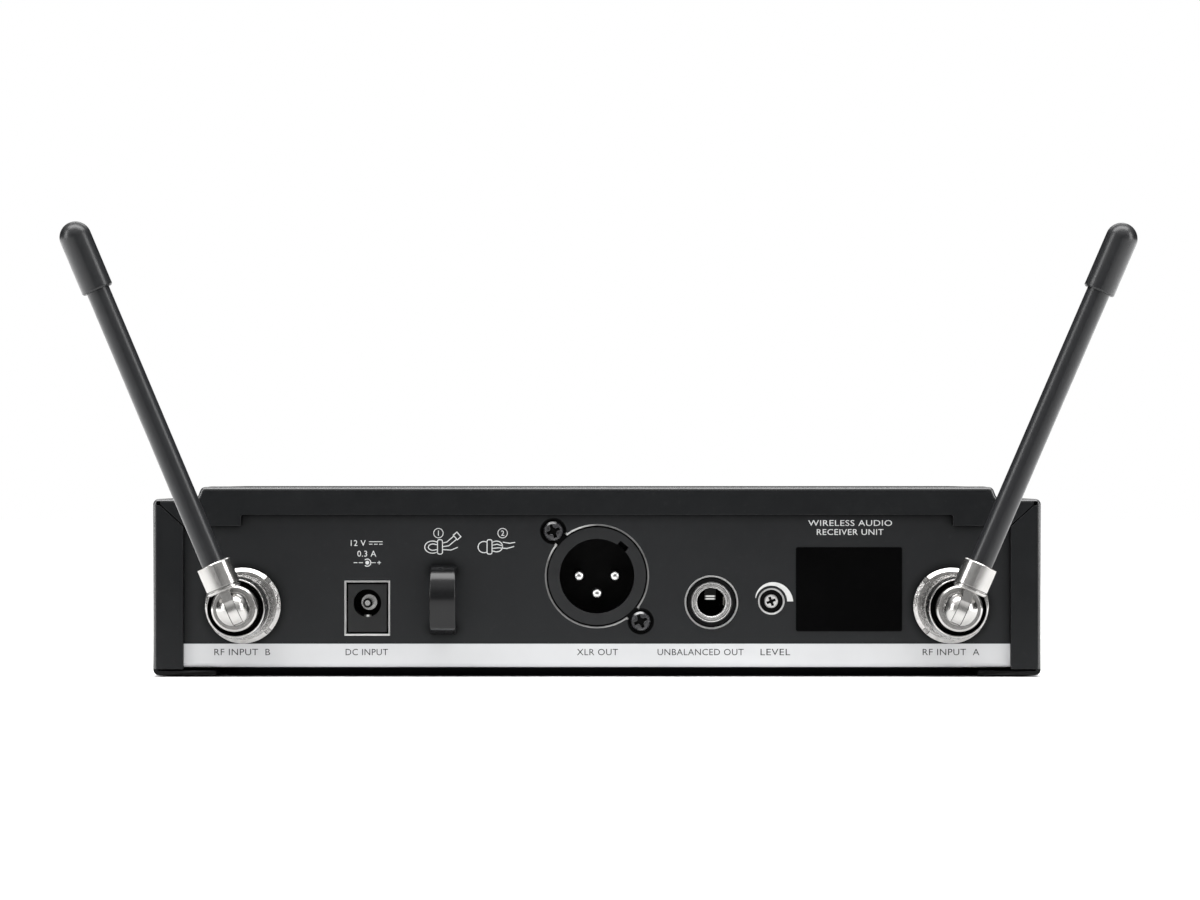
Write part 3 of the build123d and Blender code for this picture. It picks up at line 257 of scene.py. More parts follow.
def fade_by_radius(material, centres, inner, outer, shade):
    """Paints shade into a finish close to and far from the nearest of some axes along Y (mm)."""
    tree, shader = material.node_tree, principled(material)
    colour = shader.inputs["Base Color"].links[0].from_socket
    nearest = None
    for axis in centres:
        radius = from_axis(tree, axis)[2]
        nearest = radius if nearest is None else maths(tree, "MINIMUM", nearest, radius)
    lit = maths(
        tree, "MULTIPLY", ranged(tree, nearest, span=(inner[0] * MM, inner[1] * MM)),
        ranged(tree, nearest, onto=(1.0, 0.0), span=(outer[0] * MM, outer[1] * MM)),
    )
    set_inputs(tree, shader, {"Base Color": blend_colours(tree, lit, shade, colour)})
    return material


def clear_plastic(name, tint, rough, alpha, frost=0.0):
    """A thin tinted moulding: mostly a gloss over what is behind it."""
    material, tree, shader = new_material(name)
    place = coords(tree)
    paler = tuple(v * 1.15 for v in tint)
    colour = blend_colours(tree, ranged(tree, noise(tree, place, scale=120.0)), tint, paler)
    streaks = noise(tree, place, scale=900.0)
    ripple = noise(tree, place, scale=260.0, detail=2.0)
    set_inputs(tree, shader, {
        "Base Color": colour,
        "Roughness": ranged(tree, streaks, onto=(rough * 0.7, rough * 1.3)),
        "Normal": bump(tree, ripple, strength=0.01 + frost, depth=0.0012),
        "Alpha": alpha, "Specular IOR Level": 0.5,
    })
    return material


def glowing(name, colour, strength):
    material, tree, shader = new_material(name)
    patches = ranged(tree, noise(tree, coords(tree), scale=500.0, detail=2.0))
    shade = blend_colours(tree, patches, colour, tuple(v * 0.8 for v in colour))
    set_inputs(tree, shader, {
        "Base Color": shade, "Emission Color": shade, "Emission Strength": strength,
        "Roughness": 0.35,
    })
    return material


def painted_glint_strip(name, x, half_x, folds, glow):
    """Spring strip deep in a jack: dark metal with a painted highlight, a faint glow all over
    and a stronger glow on the folds. x and the (height, half width) of each fold are in mm."""
    material, tree, shader = new_material(name)
    place = coords(tree)
    xyz = add_node(tree, "SeparateXYZ", {0: place})
    bars = None
    for z, half in folds:
        off = maths(tree, "ABSOLUTE", maths(tree, "SUBTRACT", xyz.outputs["Z"], z * MM))
        bar = ranged(tree, off, onto=(1.0, 0.0), span=(half * 0.7 * MM, half * 1.35 * MM))
        bars = bar if bars is None else maths(tree, "MAXIMUM", bars, bar)
    side = maths(tree, "ABSOLUTE", maths(tree, "SUBTRACT", xyz.outputs["X"], x * MM))
    across = ranged(
        tree, side, onto=(1.0, 0.05), span=(half_x * 0.8 * MM, half_x * 1.2 * MM)
    )
    bars = maths(tree, "MULTIPLY", bars, across)
    patches = ranged(tree, noise(tree, place, scale=700.0))
    metal = blend_colours(tree, patches, (0.3, 0.29, 0.27), (0.2, 0.19, 0.18))
    set_inputs(tree, shader, {
        "Base Color": metal, "Metallic": 1.0, "Roughness": 0.3,
        "Emission Color": (0.95, 0.95, 0.93),
        "Emission Strength": maths(tree, "ADD", maths(tree, "MULTIPLY", bars, glow), 0.012),
    })
    return material


# ------------------------------------------------------------------ finishes
COVER = surface(
    "cover_powder_coat", (0.0050, 0.0056, 0.0064), (0.0067, 0.0075, 0.0084), drift=30.0,
    rough=0.36, rough_var=0.05, rough_scale=260.0, spec=0.29, grain=1900.0,
    grain_mm=0.012, edge=(0.03, 0.031, 0.033), edge_mm=0.18, round_mm=0.2, dust=0.01,
    painted_shade_mm=1.6, painted_shade_floor=0.2,
)
# painted highlight: a paler, glossier copy of the cover finish for its rear bends
COVER_BEND_HIGHLIGHT = surface(
    "cover_bends_painted_highlight", (0.010, 0.0106, 0.0115), (0.014, 0.0147, 0.0157), drift=60.0,
    rough=0.25, rough_var=0.04, rough_scale=260.0, spec=0.85, grain=1900.0,
    grain_mm=0.006, grain_strength=0.12, coat=0.35, coat_rough=0.2,
)
PANEL = surface(
    "panel_satin_paint", (0.0095, 0.0102, 0.0112), (0.0122, 0.013, 0.0141), drift=24.0,
    rough_var=0.04, rough_scale=300.0, spec=0.27, grain=2300.0, grain_mm=0.009,
    grain_strength=0.3, round_mm=0.12, dust=0.008, painted_shade_mm=2.2, painted_shade_floor=0.12,
)
BARE = surface(
    "bare_cut_edge", (0.82, 0.82, 0.81), (0.70, 0.70, 0.69), drift=500.0, metallic=0.25,
    rough=0.4, rough_var=0.08, grain=5000.0, grain_mm=0.006, grain_strength=0.4,
)
# painted shade: a darker copy of the bare edge for the rim round the XLR socket, with a painted
# highlight arc
BARE_SHADED_RING = surface(
    "bare_edge_in_shade", (0.18, 0.18, 0.179), (0.13, 0.13, 0.129), drift=500.0,
    metallic=0.2, rough_var=0.08, spec=0.3, grain=5000.0, grain_mm=0.006,
    grain_strength=0.4,
    glint=dict(axis=XLR_AXIS, way=(0.6, 0.8), colour=(0.60, 0.60, 0.59), inner=5.0, back=0.25),
)
# painted shade: a half-lit copy of the bare edge for the rims of the power inlet and level trim
BARE_HALF_SHADED = surface(
    "bare_edge_half_lit", (0.44, 0.44, 0.435), (0.36, 0.36, 0.355), drift=500.0,
    metallic=0.25, rough=0.42, rough_var=0.08, spec=0.4, grain=5000.0, grain_mm=0.006,
    grain_strength=0.4,
)
BEZEL = surface(
    "bezel_moulding", (0.0115, 0.0118, 0.0125), (0.0155, 0.016, 0.0168), drift=40.0,
    rough=0.5, rough_var=0.05, spec=0.42, grain=2600.0, grain_mm=0.02,
    grain_strength=0.55, edge=(0.03, 0.03, 0.032), edge_mm=0.3, round_mm=0.2,
)
BLACK_PLASTIC = surface(
    "black_moulding", (0.0085, 0.0088, 0.0092), (0.012, 0.0123, 0.0128), drift=90.0,
    rough=0.42, rough_var=0.07, spec=0.4, grain=3200.0, grain_strength=0.4,
    round_mm=0.12, painted_shade_mm=1.2, painted_shade_floor=0.1,
)
# painted shade: near-black laid on wells, holes, recesses and lower edges that sit in shade, and
# on the XLR insert and trim body within them
SHADE_BLACK = surface(
    "painted_shade_black", (0.0012, 0.0012, 0.0013), (0.0026, 0.0026, 0.0027), drift=120.0,
    rough=0.55, spec=0.12, grain=2600.0, grain_mm=0.008,
)
GLOSS = surface(
    "polished_black", (0.007, 0.007, 0.0075), (0.011, 0.011, 0.012), drift=80.0,
    rough=0.2, grain=1500.0, grain_mm=0.006, grain_strength=0.25, round_mm=0.2,
)
TIE = surface(
    "tie_off_moulding", (0.0040, 0.0042, 0.0047), (0.0056, 0.0058, 0.0063), drift=60.0,
    rough=0.2, rough_var=0.02, spec=0.37, grain=900.0, grain_mm=0.001,
    grain_strength=0.08, round_mm=0.15,
)
BUTTON = surface(
    "button_soft", (0.045, 0.046, 0.048), (0.058, 0.059, 0.061), drift=150.0,
    rough=0.62, rough_var=0.05, spec=0.35, grain=3500.0, grain_mm=0.012,
    grain_strength=0.5, round_mm=0.15,
)
LABEL = surface(
    "blank_label_film", (0.0005, 0.0005, 0.0006), (0.0011, 0.0011, 0.0012), drift=70.0,
    rough=0.6, rough_var=0.05, spec=0.03, grain=1800.0, grain_mm=0.004,
    grain_strength=0.2,
)
NICKEL = surface(
    "bright_nickel", (0.72, 0.71, 0.695), (0.50, 0.49, 0.48), drift=620.0, metallic=1.0,
    rough=0.21, rough_var=0.08, rough_scale=900.0, grain=1300.0, grain_mm=0.05,
    grain_strength=0.8, round_mm=0.1, painted_shade_mm=0.6, painted_shade_floor=0.6,
)
BARREL = surface(
    "turned_nickel", (0.60, 0.59, 0.575), (0.52, 0.51, 0.495), drift=300.0,
    metallic=1.0, rough=0.22, rough_var=0.05, rough_scale=700.0, grain=1100.0,
    grain_mm=0.012, grain_strength=0.5, round_mm=0.12, painted_shade_mm=0.5, painted_shade_floor=0.35,
)
BUSHING = surface(
    "threaded_bushing", (0.90, 0.895, 0.885), (0.76, 0.75, 0.74), drift=420.0,
    metallic=0.6, rough=0.24, rough_scale=900.0, grain=1500.0, grain_mm=0.03,
    grain_strength=0.6, round_mm=0.1, painted_shade_mm=0.5, painted_shade_floor=0.65,
    # painted shade in the thread grooves
    thread_shade=dict(axis=PHONE_AXIS, pitch=0.38, darkest=0.72, depth=0.025),
)
SHAFT = surface(
    "trim_shaft_metal", (0.86, 0.855, 0.845), (0.66, 0.655, 0.645), drift=700.0,
    metallic=0.45, rough=0.3, rough_var=0.08, grain=3000.0, grain_mm=0.006,
    grain_strength=0.4,
)
ZINC = surface(
    "zinc_plate", (0.55, 0.56, 0.58), (0.46, 0.47, 0.47), drift=260.0, metallic=1.0,
    rough=0.36, rough_var=0.1, grain=2600.0, grain_mm=0.008,
)
DARK_SCREW = surface(
    "blackened_screw", (0.075, 0.075, 0.08), (0.12, 0.12, 0.125), drift=500.0,
    metallic=0.85, rough=0.24, grain=2000.0, edge=(0.2, 0.2, 0.205), edge_mm=0.12,
    round_mm=0.45, painted_shade_mm=0.8, painted_shade_floor=0.1,
)
# painted highlight: each screw head gets its own copy with a pale arc over its top and a faint
# one beneath
XLR_HEADS = [
    surface(
        f"blackened_head_painted_glint_{i}", (0.022, 0.022, 0.024), (0.042, 0.042, 0.045), drift=500.0,
        metallic=0.25, rough=0.24, grain=2000.0, edge=(0.16, 0.16, 0.165), edge_mm=0.12,
        round_mm=0.45,
        glint=dict(axis=axis, way=(0.2, 0.98), colour=(0.70, 0.70, 0.70), inner=1.6, back=0.08),
    )
    for i, axis in enumerate(XLR_SCREWS)
]
SHELL = surface(
    "cast_shell_coat", (0.0105, 0.011, 0.0118), (0.014, 0.0147, 0.0155), drift=160.0,
    metallic=0.1, spec=0.4, grain=2400.0, grain_mm=0.009, round_mm=0.15, painted_shade_mm=1.5,
    painted_shade_floor=0.1,
)
SILVER = surface(
    "silver_plate", (0.86, 0.86, 0.85), (0.76, 0.76, 0.75), drift=500.0, metallic=1.0,
    rough=0.2, rough_var=0.07, grain=3500.0, grain_mm=0.004,
)
GOLD = surface(
    "gold_plate", (0.83, 0.62, 0.26), (0.74, 0.53, 0.2), drift=400.0, metallic=1.0,
    rough=0.24, rough_var=0.07, grain=3200.0, grain_mm=0.004,
)
# painted highlights: glowing bars on the phone jack's tip leaf and the power inlet's spring tip
LEAF_GLINT = painted_glint_strip(
    "leaf_painted_glint", x=PHONE_AXIS[0], half_x=1.0,
    folds=((17.46, 0.17), (16.86, 0.16)), glow=0.8,
)
GLINT = painted_glint_strip(
    "spring_tip_glint", x=DC_AXIS[0], half_x=0.3, folds=((13.4, 0.3),), glow=0.6
)
PIN_RIM = surface(
    "pin_rim_in_shade", (0.16, 0.16, 0.165), (0.11, 0.11, 0.112), drift=500.0,
    metallic=1.0, rough=0.3, rough_var=0.07, grain=3000.0, grain_mm=0.004,
)
# painted shade: each pin tip dark at its centre flat and towards its rim
PIN_TIP_SHADED = fade_by_radius(
    surface(
        "pin_tip_plate_painted_shade", (0.86, 0.86, 0.85), (0.76, 0.76, 0.75), drift=500.0,
        metallic=1.0, rough=0.24, rough_var=0.05, grain=3500.0, grain_mm=0.004,
    ),
    XLR_PINS, inner=(0.12, 0.24), outer=(0.74, 0.86), shade=(0.10, 0.10, 0.102),
)
SPRING = surface(
    "spring_strip", (0.62, 0.60, 0.55), (0.5, 0.48, 0.44), drift=500.0, metallic=1.0,
    rough=0.25, rough_var=0.08, grain=3200.0, grain_mm=0.004,
)
TIN = surface(
    "tinned_sheet", (0.62, 0.63, 0.63), (0.5, 0.51, 0.51), drift=120.0, metallic=1.0,
    rough=0.32, rough_var=0.12, rough_scale=180.0, grain=1500.0, grain_mm=0.008,
)
CAN = surface(
    "capacitor_sleeve", (0.5, 0.51, 0.52), (0.4, 0.41, 0.42), drift=200.0, metallic=1.0,
    rough=0.35, rough_var=0.08, grain=2600.0, grain_mm=0.006, stretch=(1, 1, 0.05),
)
BOARD = surface(
    "solder_resist", (0.008, 0.075, 0.03), (0.012, 0.10, 0.042), drift=55.0, rough=0.32,
    grain=1400.0, grain_strength=0.3,
)
CHIP = surface(
    "chip_epoxy", (0.012, 0.012, 0.013), (0.02, 0.02, 0.021), drift=240.0, rough=0.6,
    grain=4200.0, grain_mm=0.012, grain_strength=0.5,
)
WHITE = surface(
    "natural_white_moulding", (0.78, 0.78, 0.75), (0.70, 0.70, 0.67), drift=130.0,
    rough=0.42, grain=2000.0, grain_mm=0.008,
)
JACKET = surface(
    "cable_jacket", (0.012, 0.012, 0.0125), (0.018, 0.018, 0.019), drift=200.0,
    rough=0.5, grain=2600.0,
)
RIBBON = surface(
    "flat_cable_jacket", (0.36, 0.37, 0.38), (0.30, 0.31, 0.32), drift=200.0, rough=0.5,
    grain=780.0, grain_mm=0.12, grain_strength=0.9, stretch=(1, 0.02, 0.02),
)
WHIP = surface(
    "whip_sheath", (0.0105, 0.011, 0.0125), (0.0135, 0.014, 0.0155), drift=90.0,
    rough=0.33, rough_var=0.03, grain=2400.0, grain_mm=0.005, grain_strength=0.2,
)
BOOT = surface(
    "boot_rubber", (0.0095, 0.010, 0.0112), (0.013, 0.0136, 0.0148), drift=120.0,
    rough=0.31, rough_var=0.04, spec=0.55, grain=2800.0, grain_mm=0.006,
    grain_strength=0.2,
)
STRIP_INK = surface(
    "silver_strip_ink", (0.64, 0.645, 0.655), (0.70, 0.705, 0.715), drift=35.0,
    metallic=0.1, rough=0.33, rough_var=0.05, grain=2600.0, grain_mm=0.005,
    grain_strength=0.2,
)
DARK_INK = surface(
    "dark_legend_ink", (0.022, 0.023, 0.025), (0.035, 0.036, 0.038), drift=800.0,
    rough=0.55, rough_var=0.05, spec=0.3, grain=4000.0, grain_mm=0.003,
)
PALE_INK = surface(
    "pale_legend_ink", (0.66, 0.67, 0.67), (0.58, 0.59, 0.59), drift=800.0,
    rough=0.55, rough_var=0.05, spec=0.3, grain=4000.0, grain_mm=0.003,
)
WHITE_INK = surface(
    "white_mark_ink", (0.66, 0.66, 0.65), (0.60, 0.60, 0.59), drift=700.0, rough=0.5,
    rough_var=0.05, spec=0.35, grain=4000.0, grain_mm=0.003,
)
WINDOW = clear_plastic("smoked_window", (0.012, 0.006, 0.006), rough=0.06, alpha=0.55)
PIPE = clear_plastic("frosted_pipe", (0.62, 0.66, 0.62), rough=0.25, alpha=0.85, frost=0.3)
DISPLAY = surface(
    "display_face", (0.006, 0.006, 0.006), (0.009, 0.009, 0.009), drift=200.0,
    rough=0.4, rough_var=0.03, spec=0.2, grain=2200.0, grain_mm=0.001,
    grain_strength=0.1,
)
SEGMENT_ON = glowing("segment_lit", (1.0, 0.16, 0.05), strength=2.2)
SEGMENT_OFF = surface(
    "segment_unlit", (0.05, 0.045, 0.043), (0.06, 0.055, 0.052), drift=300.0, rough=0.5,
    rough_var=0.05, grain=2200.0, grain_mm=0.004,
)

FINISH = {
    "top_cover": COVER, "chassis_tray": PANEL, "cover_screws": DARK_SCREW,
    "front_bezel": BEZEL, "bezel_screws": ZINC, "rating_label": LABEL,
    "display_window": WINDOW, "segment_display": DISPLAY, "light_pipes": PIPE,
    "group_button": BUTTON, "channel_button": BUTTON, "tact_switches": BLACK_PLASTIC,
    "power_switch_body": BLACK_PLASTIC, "power_rocker": GLOSS, "front_pcb": BOARD,
    "main_pcb": BOARD, "pcb_standoffs": ZINC, "pcb_screws": ZINC,
    "rf_shield_cans": TIN, "signal_chips": CHIP, "capacitors": CAN,
    "coax_sockets": GOLD, "coax_leads": JACKET, "ribbon_cable": RIBBON,
    "ribbon_sockets": WHITE, "bnc_jack_a": NICKEL, "bnc_jack_b": NICKEL,
    "bnc_nuts": NICKEL, "bnc_washers": ZINC, "bnc_insulators": WHITE,
    "bnc_contacts": GOLD, "dc_jack_body": BLACK_PLASTIC, "dc_jack_pin": SILVER,
    "dc_jack_spring": SPRING, "cord_tie_off": TIE, "xlr_housing": SHELL,
    "xlr_insert": SHADE_BLACK, "xlr_pins": SILVER, "xlr_screws": DARK_SCREW,
    "phone_jack_body": BLACK_PLASTIC, "phone_jack_sleeve": BUSHING,
    "phone_jack_contacts": SPRING, "volume_pot_body": SHADE_BLACK, "volume_shaft": SHAFT,
}
for side in ANTENNA_AXES:
    FINISH.update({
        f"antenna_{side}_ring": NICKEL, f"antenna_{side}_plug": BARREL,
        f"antenna_{side}_insulator": WHITE, f"antenna_{side}_contact": GOLD,
        f"antenna_{side}_hinge_pin": NICKEL, f"antenna_{side}_ferrule": BARREL,
        f"antenna_{side}_whip": WHIP, f"antenna_{side}_boot": BOOT,
    })
for name, piece in cad_pieces.items():
    piece.data.materials.clear()
    piece.data.materials.append(FINISH[name])
    for poly in piece.data.polygons:
        poly.material_index = 0

# ------------------------------------------------------------------ faces with other finishes


def paint(name, material, test):
    """Gives the faces that pass the test (centre in mm, normal) another finish."""
    mesh = cad_pieces[name].data
    mesh.materials.append(material)
    index = len(mesh.materials) - 1
    for poly in mesh.polygons:
        if test(poly.center * 1000, poly.normal):
            poly.material_index = index


def off_axis(spot, axis):
    return math.hypot(spot.x - axis[0], spot.z - axis[1])


def near_xlr_screw(spot, reach):
    return any(off_axis(spot, axis) < reach for axis in XLR_SCREWS)


def on_cut_edge(spot, normal):
    """On the slanting rims of the rear panel's openings."""
    return spot.y > 65.42 and 0.4 < normal.y < 0.95


# painted highlight on the cover's rear bends, then painted shade on its lower edges
COVER_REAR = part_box("top_cover")[1].y * 1000
paint(
    "top_cover", COVER_BEND_HIGHLIGHT,
    lambda spot, normal: spot.y > COVER_REAR - 3.0 and normal.y > 0.12
    and (normal.z > 0.12 or abs(normal.x) > 0.12),
)
paint(
    "top_cover", SHADE_BLACK,
    lambda spot, normal: spot.z < 2.4 and (normal.z < -0.2 or abs(spot.x) < 92.0),
)

# rims of the rear panel's openings in bare metal, with painted shade and a painted highlight arc
# on the rim round the XLR socket and half painted shade on the rims of the power inlet and level
# trim; then painted shade in the XLR screw holes
paint(
    "chassis_tray", BARE,
    lambda spot, normal: on_cut_edge(spot, normal) and spot.z > 4.5
    and not near_xlr_screw(spot, 2.95),
)
paint(
    "chassis_tray", BARE_SHADED_RING,
    lambda spot, normal: on_cut_edge(spot, normal) and off_axis(spot, XLR_AXIS) < 12.5
    and not near_xlr_screw(spot, 2.95),
)
paint(
    "chassis_tray", BARE_HALF_SHADED,
    lambda spot, normal: on_cut_edge(spot, normal) and spot.z > 4.5
    and (spot.x > 40.0 or off_axis(spot, TRIM_AXIS) < 3.4),
)
paint(
    "chassis_tray", SHADE_BLACK,
    lambda spot, normal: spot.y > 64.8 and near_xlr_screw(spot, 2.94),
)

# XLR socket: painted shade in the well and screw holes; the screw heads, each with its own
# painted highlight arc, and painted shade in their recesses
paint(
    "xlr_housing", SHADE_BLACK,
    lambda spot, normal: (
        spot.y < 65.7 and off_axis(spot, XLR_AXIS) < 9.6 and abs(normal.y) < 0.9
    ) or (near_xlr_screw(spot, 2.9) and spot.y < 65.3),
)
for head, axis in zip(XLR_HEADS, XLR_SCREWS):
    paint("xlr_screws", head, lambda spot, normal: spot.x * axis[0] > 0)
paint(
    "xlr_screws", SHADE_BLACK,
    lambda spot, normal: near_xlr_screw(spot, 1.65) and spot.y > 65.3
    and (abs(normal.y) < 0.3 or spot.y < 65.6),
)

# painted shade in the recesses of the trim shaft, antenna rings and jacks
paint(
    "volume_shaft", SHADE_BLACK,
    lambda spot, normal: off_axis(spot, TRIM_AXIS) < 1.25 and spot.y > 64.1
    and (abs(normal.y) < 0.3 or spot.y < 64.3),
)
for side, axis in ANTENNA_AXES.items():
    paint(
        f"antenna_{side}_ring", SHADE_BLACK,
        lambda spot, normal: spot.y > 80.3 and off_axis(spot, axis) < 6.12,
    )
paint(
    "dc_jack_body", SHADE_BLACK,
    lambda spot, normal: spot.y < 65.5 and off_axis(spot, DC_AXIS) < 3.6,
)
paint("phone_jack_body", SHADE_BLACK, lambda spot, normal: True)
# painted highlight: the bend of the tip leaf faces the opening and glows in bars where light
# getting in would catch it
paint(
    "phone_jack_contacts", LEAF_GLINT,
    lambda spot, normal: spot.y > 48.0 and normal.y > 0.05
    and abs(spot.x - PHONE_AXIS[0]) < 2.0,
)
# painted highlight: the spring's tip glows where it shows at the foot of the inlet
paint(
    "dc_jack_spring", GLINT,
    lambda spot, normal: spot.z > 12.95 and spot.y > 61.5 and normal.z > 0.1,
)
# the pins' rims and the small flats at their tips sit in shade, the shoulder shines
paint("xlr_pins", PIN_RIM, lambda spot, normal: spot.y > 63.0 and normal.y < 0.6)
paint("xlr_pins", PIN_TIP_SHADED, lambda spot, normal: spot.y > 63.0 and normal.y >= 0.6)

# The display reads "12" from the front, where lower x is on the left.
DISPLAY_X, DISPLAY_Z = -14.0, 21.5
DIGIT_OFFSET = 8.5
# digit centre x: its lit strokes
LIT_STROKES = {
    DISPLAY_X - DIGIT_OFFSET: {"right upper", "right lower"},
    DISPLAY_X + DIGIT_OFFSET: {"top", "middle", "bottom", "right upper", "left lower"},
}


def stroke_at(across, up):
    """The stroke of a digit at an offset from the digit's centre."""
    if abs(across) < 2.7:
        if up > 4:
            return "top"
        if up < -4:
            return "bottom"
        if abs(up) < 0.7:
            return "middle"
    return ("right" if across > 0 else "left") + (" upper" if up > 0 else " lower")


def segment_lit(spot):
    up = spot.z - DISPLAY_Z
    for digit_x, lit in LIT_STROKES.items():
        across = spot.x - digit_x
        if abs(across) < 4.2 and abs(up) < 6.2:
            return stroke_at(across, up) in lit
    return False


def on_segment(spot, normal):
    return normal.y < -0.9 and -64.25 < spot.y < -64.15


paint("segment_display", SEGMENT_OFF, on_segment)
paint(
    "segment_display", SEGMENT_ON,
    lambda spot, normal: on_segment(spot, normal) and segment_lit(spot),
)

# ------------------------------------------------------------------ mesh helpers


def make_piece(name, verts, faces, material):
    """A piece that rides on the receiver, with its faces turned outward."""
    mesh = bpy.data.meshes.new(name)
    mesh.from_pydata(verts, [], faces)
    mesh.validate()
    mesh.update()
    piece = bpy.data.objects.new(name, mesh)
    scene.collection.objects.link(piece)
    mesh.materials.append(material)
    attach(piece, "receiver")
    work = bmesh.new()
    work.from_mesh(mesh)
    bmesh.ops.recalc_face_normals(work, faces=work.faces)
    work.to_mesh(mesh)
    work.free()
    return piece


def letter_mesh(text):
    """Flat lettering at text size 1, as a temporary mesh."""
    curve = bpy.data.curves.new("letters", "FONT")
    curve.body = text
    curve.align_y = "BOTTOM_BASELINE"
    curve.resolution_u = 3
    curve.space_character = 1.06
    letters = bpy.data.objects.new("letters", curve)
    scene.collection.objects.link(letters)
    bpy.context.view_layer.update()
    evaluated = letters.evaluated_get(bpy.context.evaluated_depsgraph_get())
    mesh = bpy.data.meshes.new_from_object(evaluated)
    bpy.data.objects.remove(letters)
    bpy.data.curves.remove(curve)
    return mesh


class Inkwork:
    """Thin printed shapes on the plane y = level (mm), gathered in one mesh.
    side +1 prints on the rear face, -1 on the front face."""

    def __init__(self, level, thick, side=1):
        self.verts, self.faces = [], []
        self.level, self.thick, self.side = level, thick, side

    def _point(self, x, z, top):
        y = self.level + self.side * (self.thick if top else 0.0)
        return (x * MM, y * MM, z * MM)

    def strip(self, left, right, closed=False):
        """A solid band between two rows of (x, z) points, in step."""
        count, base = len(left), len(self.verts)
        for top_pair in zip(left, right):
            self.verts += [self._point(*p, top) for top in (False, True) for p in top_pair]
        for i in range(count if closed else count - 1):
            p, q = base + 4 * i, base + 4 * ((i + 1) % count)
            self.faces += [(p + 2, q + 2, q + 3, p + 3), (p, p + 1, q + 1, q),
                           (p, q, q + 2, p + 2), (p + 1, p + 3, q + 3, q + 1)]
        if not closed:
            last = base + 4 * (count - 1)
            self.faces += [(base, base + 2, base + 3, base + 1),
                           (last + 1, last + 3, last + 2, last)]

    def stroke(self, points, width, closed=False):
        """A line of even width through (x, z) points, with mitred corners."""
        left, right, count = [], [], len(points)
        for i, (x, z) in enumerate(points):
            lines = []
            if i or closed:
                lines.append((points[i - 1], (x, z)))
            if i < count - 1 or closed:
                lines.append(((x, z), points[(i + 1) % count]))
            ways = [Vector((b[0] - a[0], b[1] - a[1])).normalized() for a, b in lines]
            mean = (ways[0] + ways[-1]).normalized()
            normal = Vector((-mean.y, mean.x))
            # the floor of 0.4 limits the mitre of sharp corners
            reach = width / 2 / max(0.4, normal.dot(Vector((-ways[0].y, ways[0].x))))
            left.append((x + normal.x * reach, z + normal.y * reach))
            right.append((x - normal.x * reach, z - normal.y * reach))
        self.strip(left, right, closed)

    def dot(self, x, z, radius, steps=28):
        base = len(self.verts)
        for top in (False, True):
            for i in range(steps):
                angle = 2 * math.pi * i / steps
                self.verts.append(self._point(
                    x + radius * math.cos(angle), z + radius * math.sin(angle), top
                ))
        self.faces.append(tuple(base + i for i in range(steps)))
        self.faces.append(tuple(base + 2 * steps - 1 - i for i in range(steps)))
        for i in range(steps):
            j = (i + 1) % steps
            self.faces.append((base + i, base + steps + i, base + steps + j, base + j))

    def words(self, text, x, z, height, width=None):
        """Lettering centred at x, z, of the given overall height and width, mm."""
        mesh = letter_mesh(text)
        xs = [v.co.x for v in mesh.vertices]
        ys = [v.co.y for v in mesh.vertices]
        scale_y = height / (max(ys) - min(ys))
        scale_x = (width / (max(xs) - min(xs))) if width else scale_y
        mid_x, mid_y = (min(xs) + max(xs)) / 2, (min(ys) + max(ys)) / 2
        flat = [
            (x + (v.co.x - mid_x) * scale_x * (-self.side), z + (v.co.y - mid_y) * scale_y)
            for v in mesh.vertices
        ]
        base = len(self.verts)
        lid = base + len(flat)
        for top in (False, True):
            self.verts += [self._point(*p, top) for p in flat]
        edges = {}
        for poly in mesh.polygons:
            loop = list(poly.vertices)
            self.faces.append(tuple(lid + i for i in loop))
            self.faces.append(tuple(base + i for i in reversed(loop)))
            edges.update(dict.fromkeys(zip(loop, loop[1:] + loop[:1])))
        # walls stand only on the outline, whose edges belong to one face
        for a, b in edges:
            if (b, a) not in edges:
                self.faces.append((base + a, base + b, lid + b, lid + a))
        bpy.data.meshes.remove(mesh)

    def piece(self, name, material, slot):
        make_piece(name, self.verts, self.faces, material)


def arc(x, z, radius_x, radius_z, start, end, steps):
    """(x, z) points along an elliptical arc, angles in degrees."""
    angles = [math.radians(start + (end - start) * i / steps) for i in range(steps + 1)]
    return [(x + radius_x * math.cos(a), z + radius_z * math.sin(a)) for a in angles]


def rounded(x0, z0, x1, z1, r):
    """The outline of a rectangle with rounded corners."""
    corners = ((x1 - r, z1 - r), (x0 + r, z1 - r), (x0 + r, z0 + r), (x1 - r, z0 + r))
    return [
        point for i, (x, z) in enumerate(corners)
        for point in arc(x, z, r, r, start=90 * i, end=90 * (i + 1), steps=6)
    ]


# ------------------------------------------------------------------ rear panel printing
PANEL_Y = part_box("chassis_tray")[1].y * 1000
INK_GAP = 0.002  # between a panel and the ink's underside

BAND_HALF = 91.75
BAND_COLUMNS = 41
BAND_UNDER, BAND_OVER = 0.004, 0.03  # the band's two skins above the panel
BEND_RADIUS = 1.15
BEND_FOOT_Z = 2.0


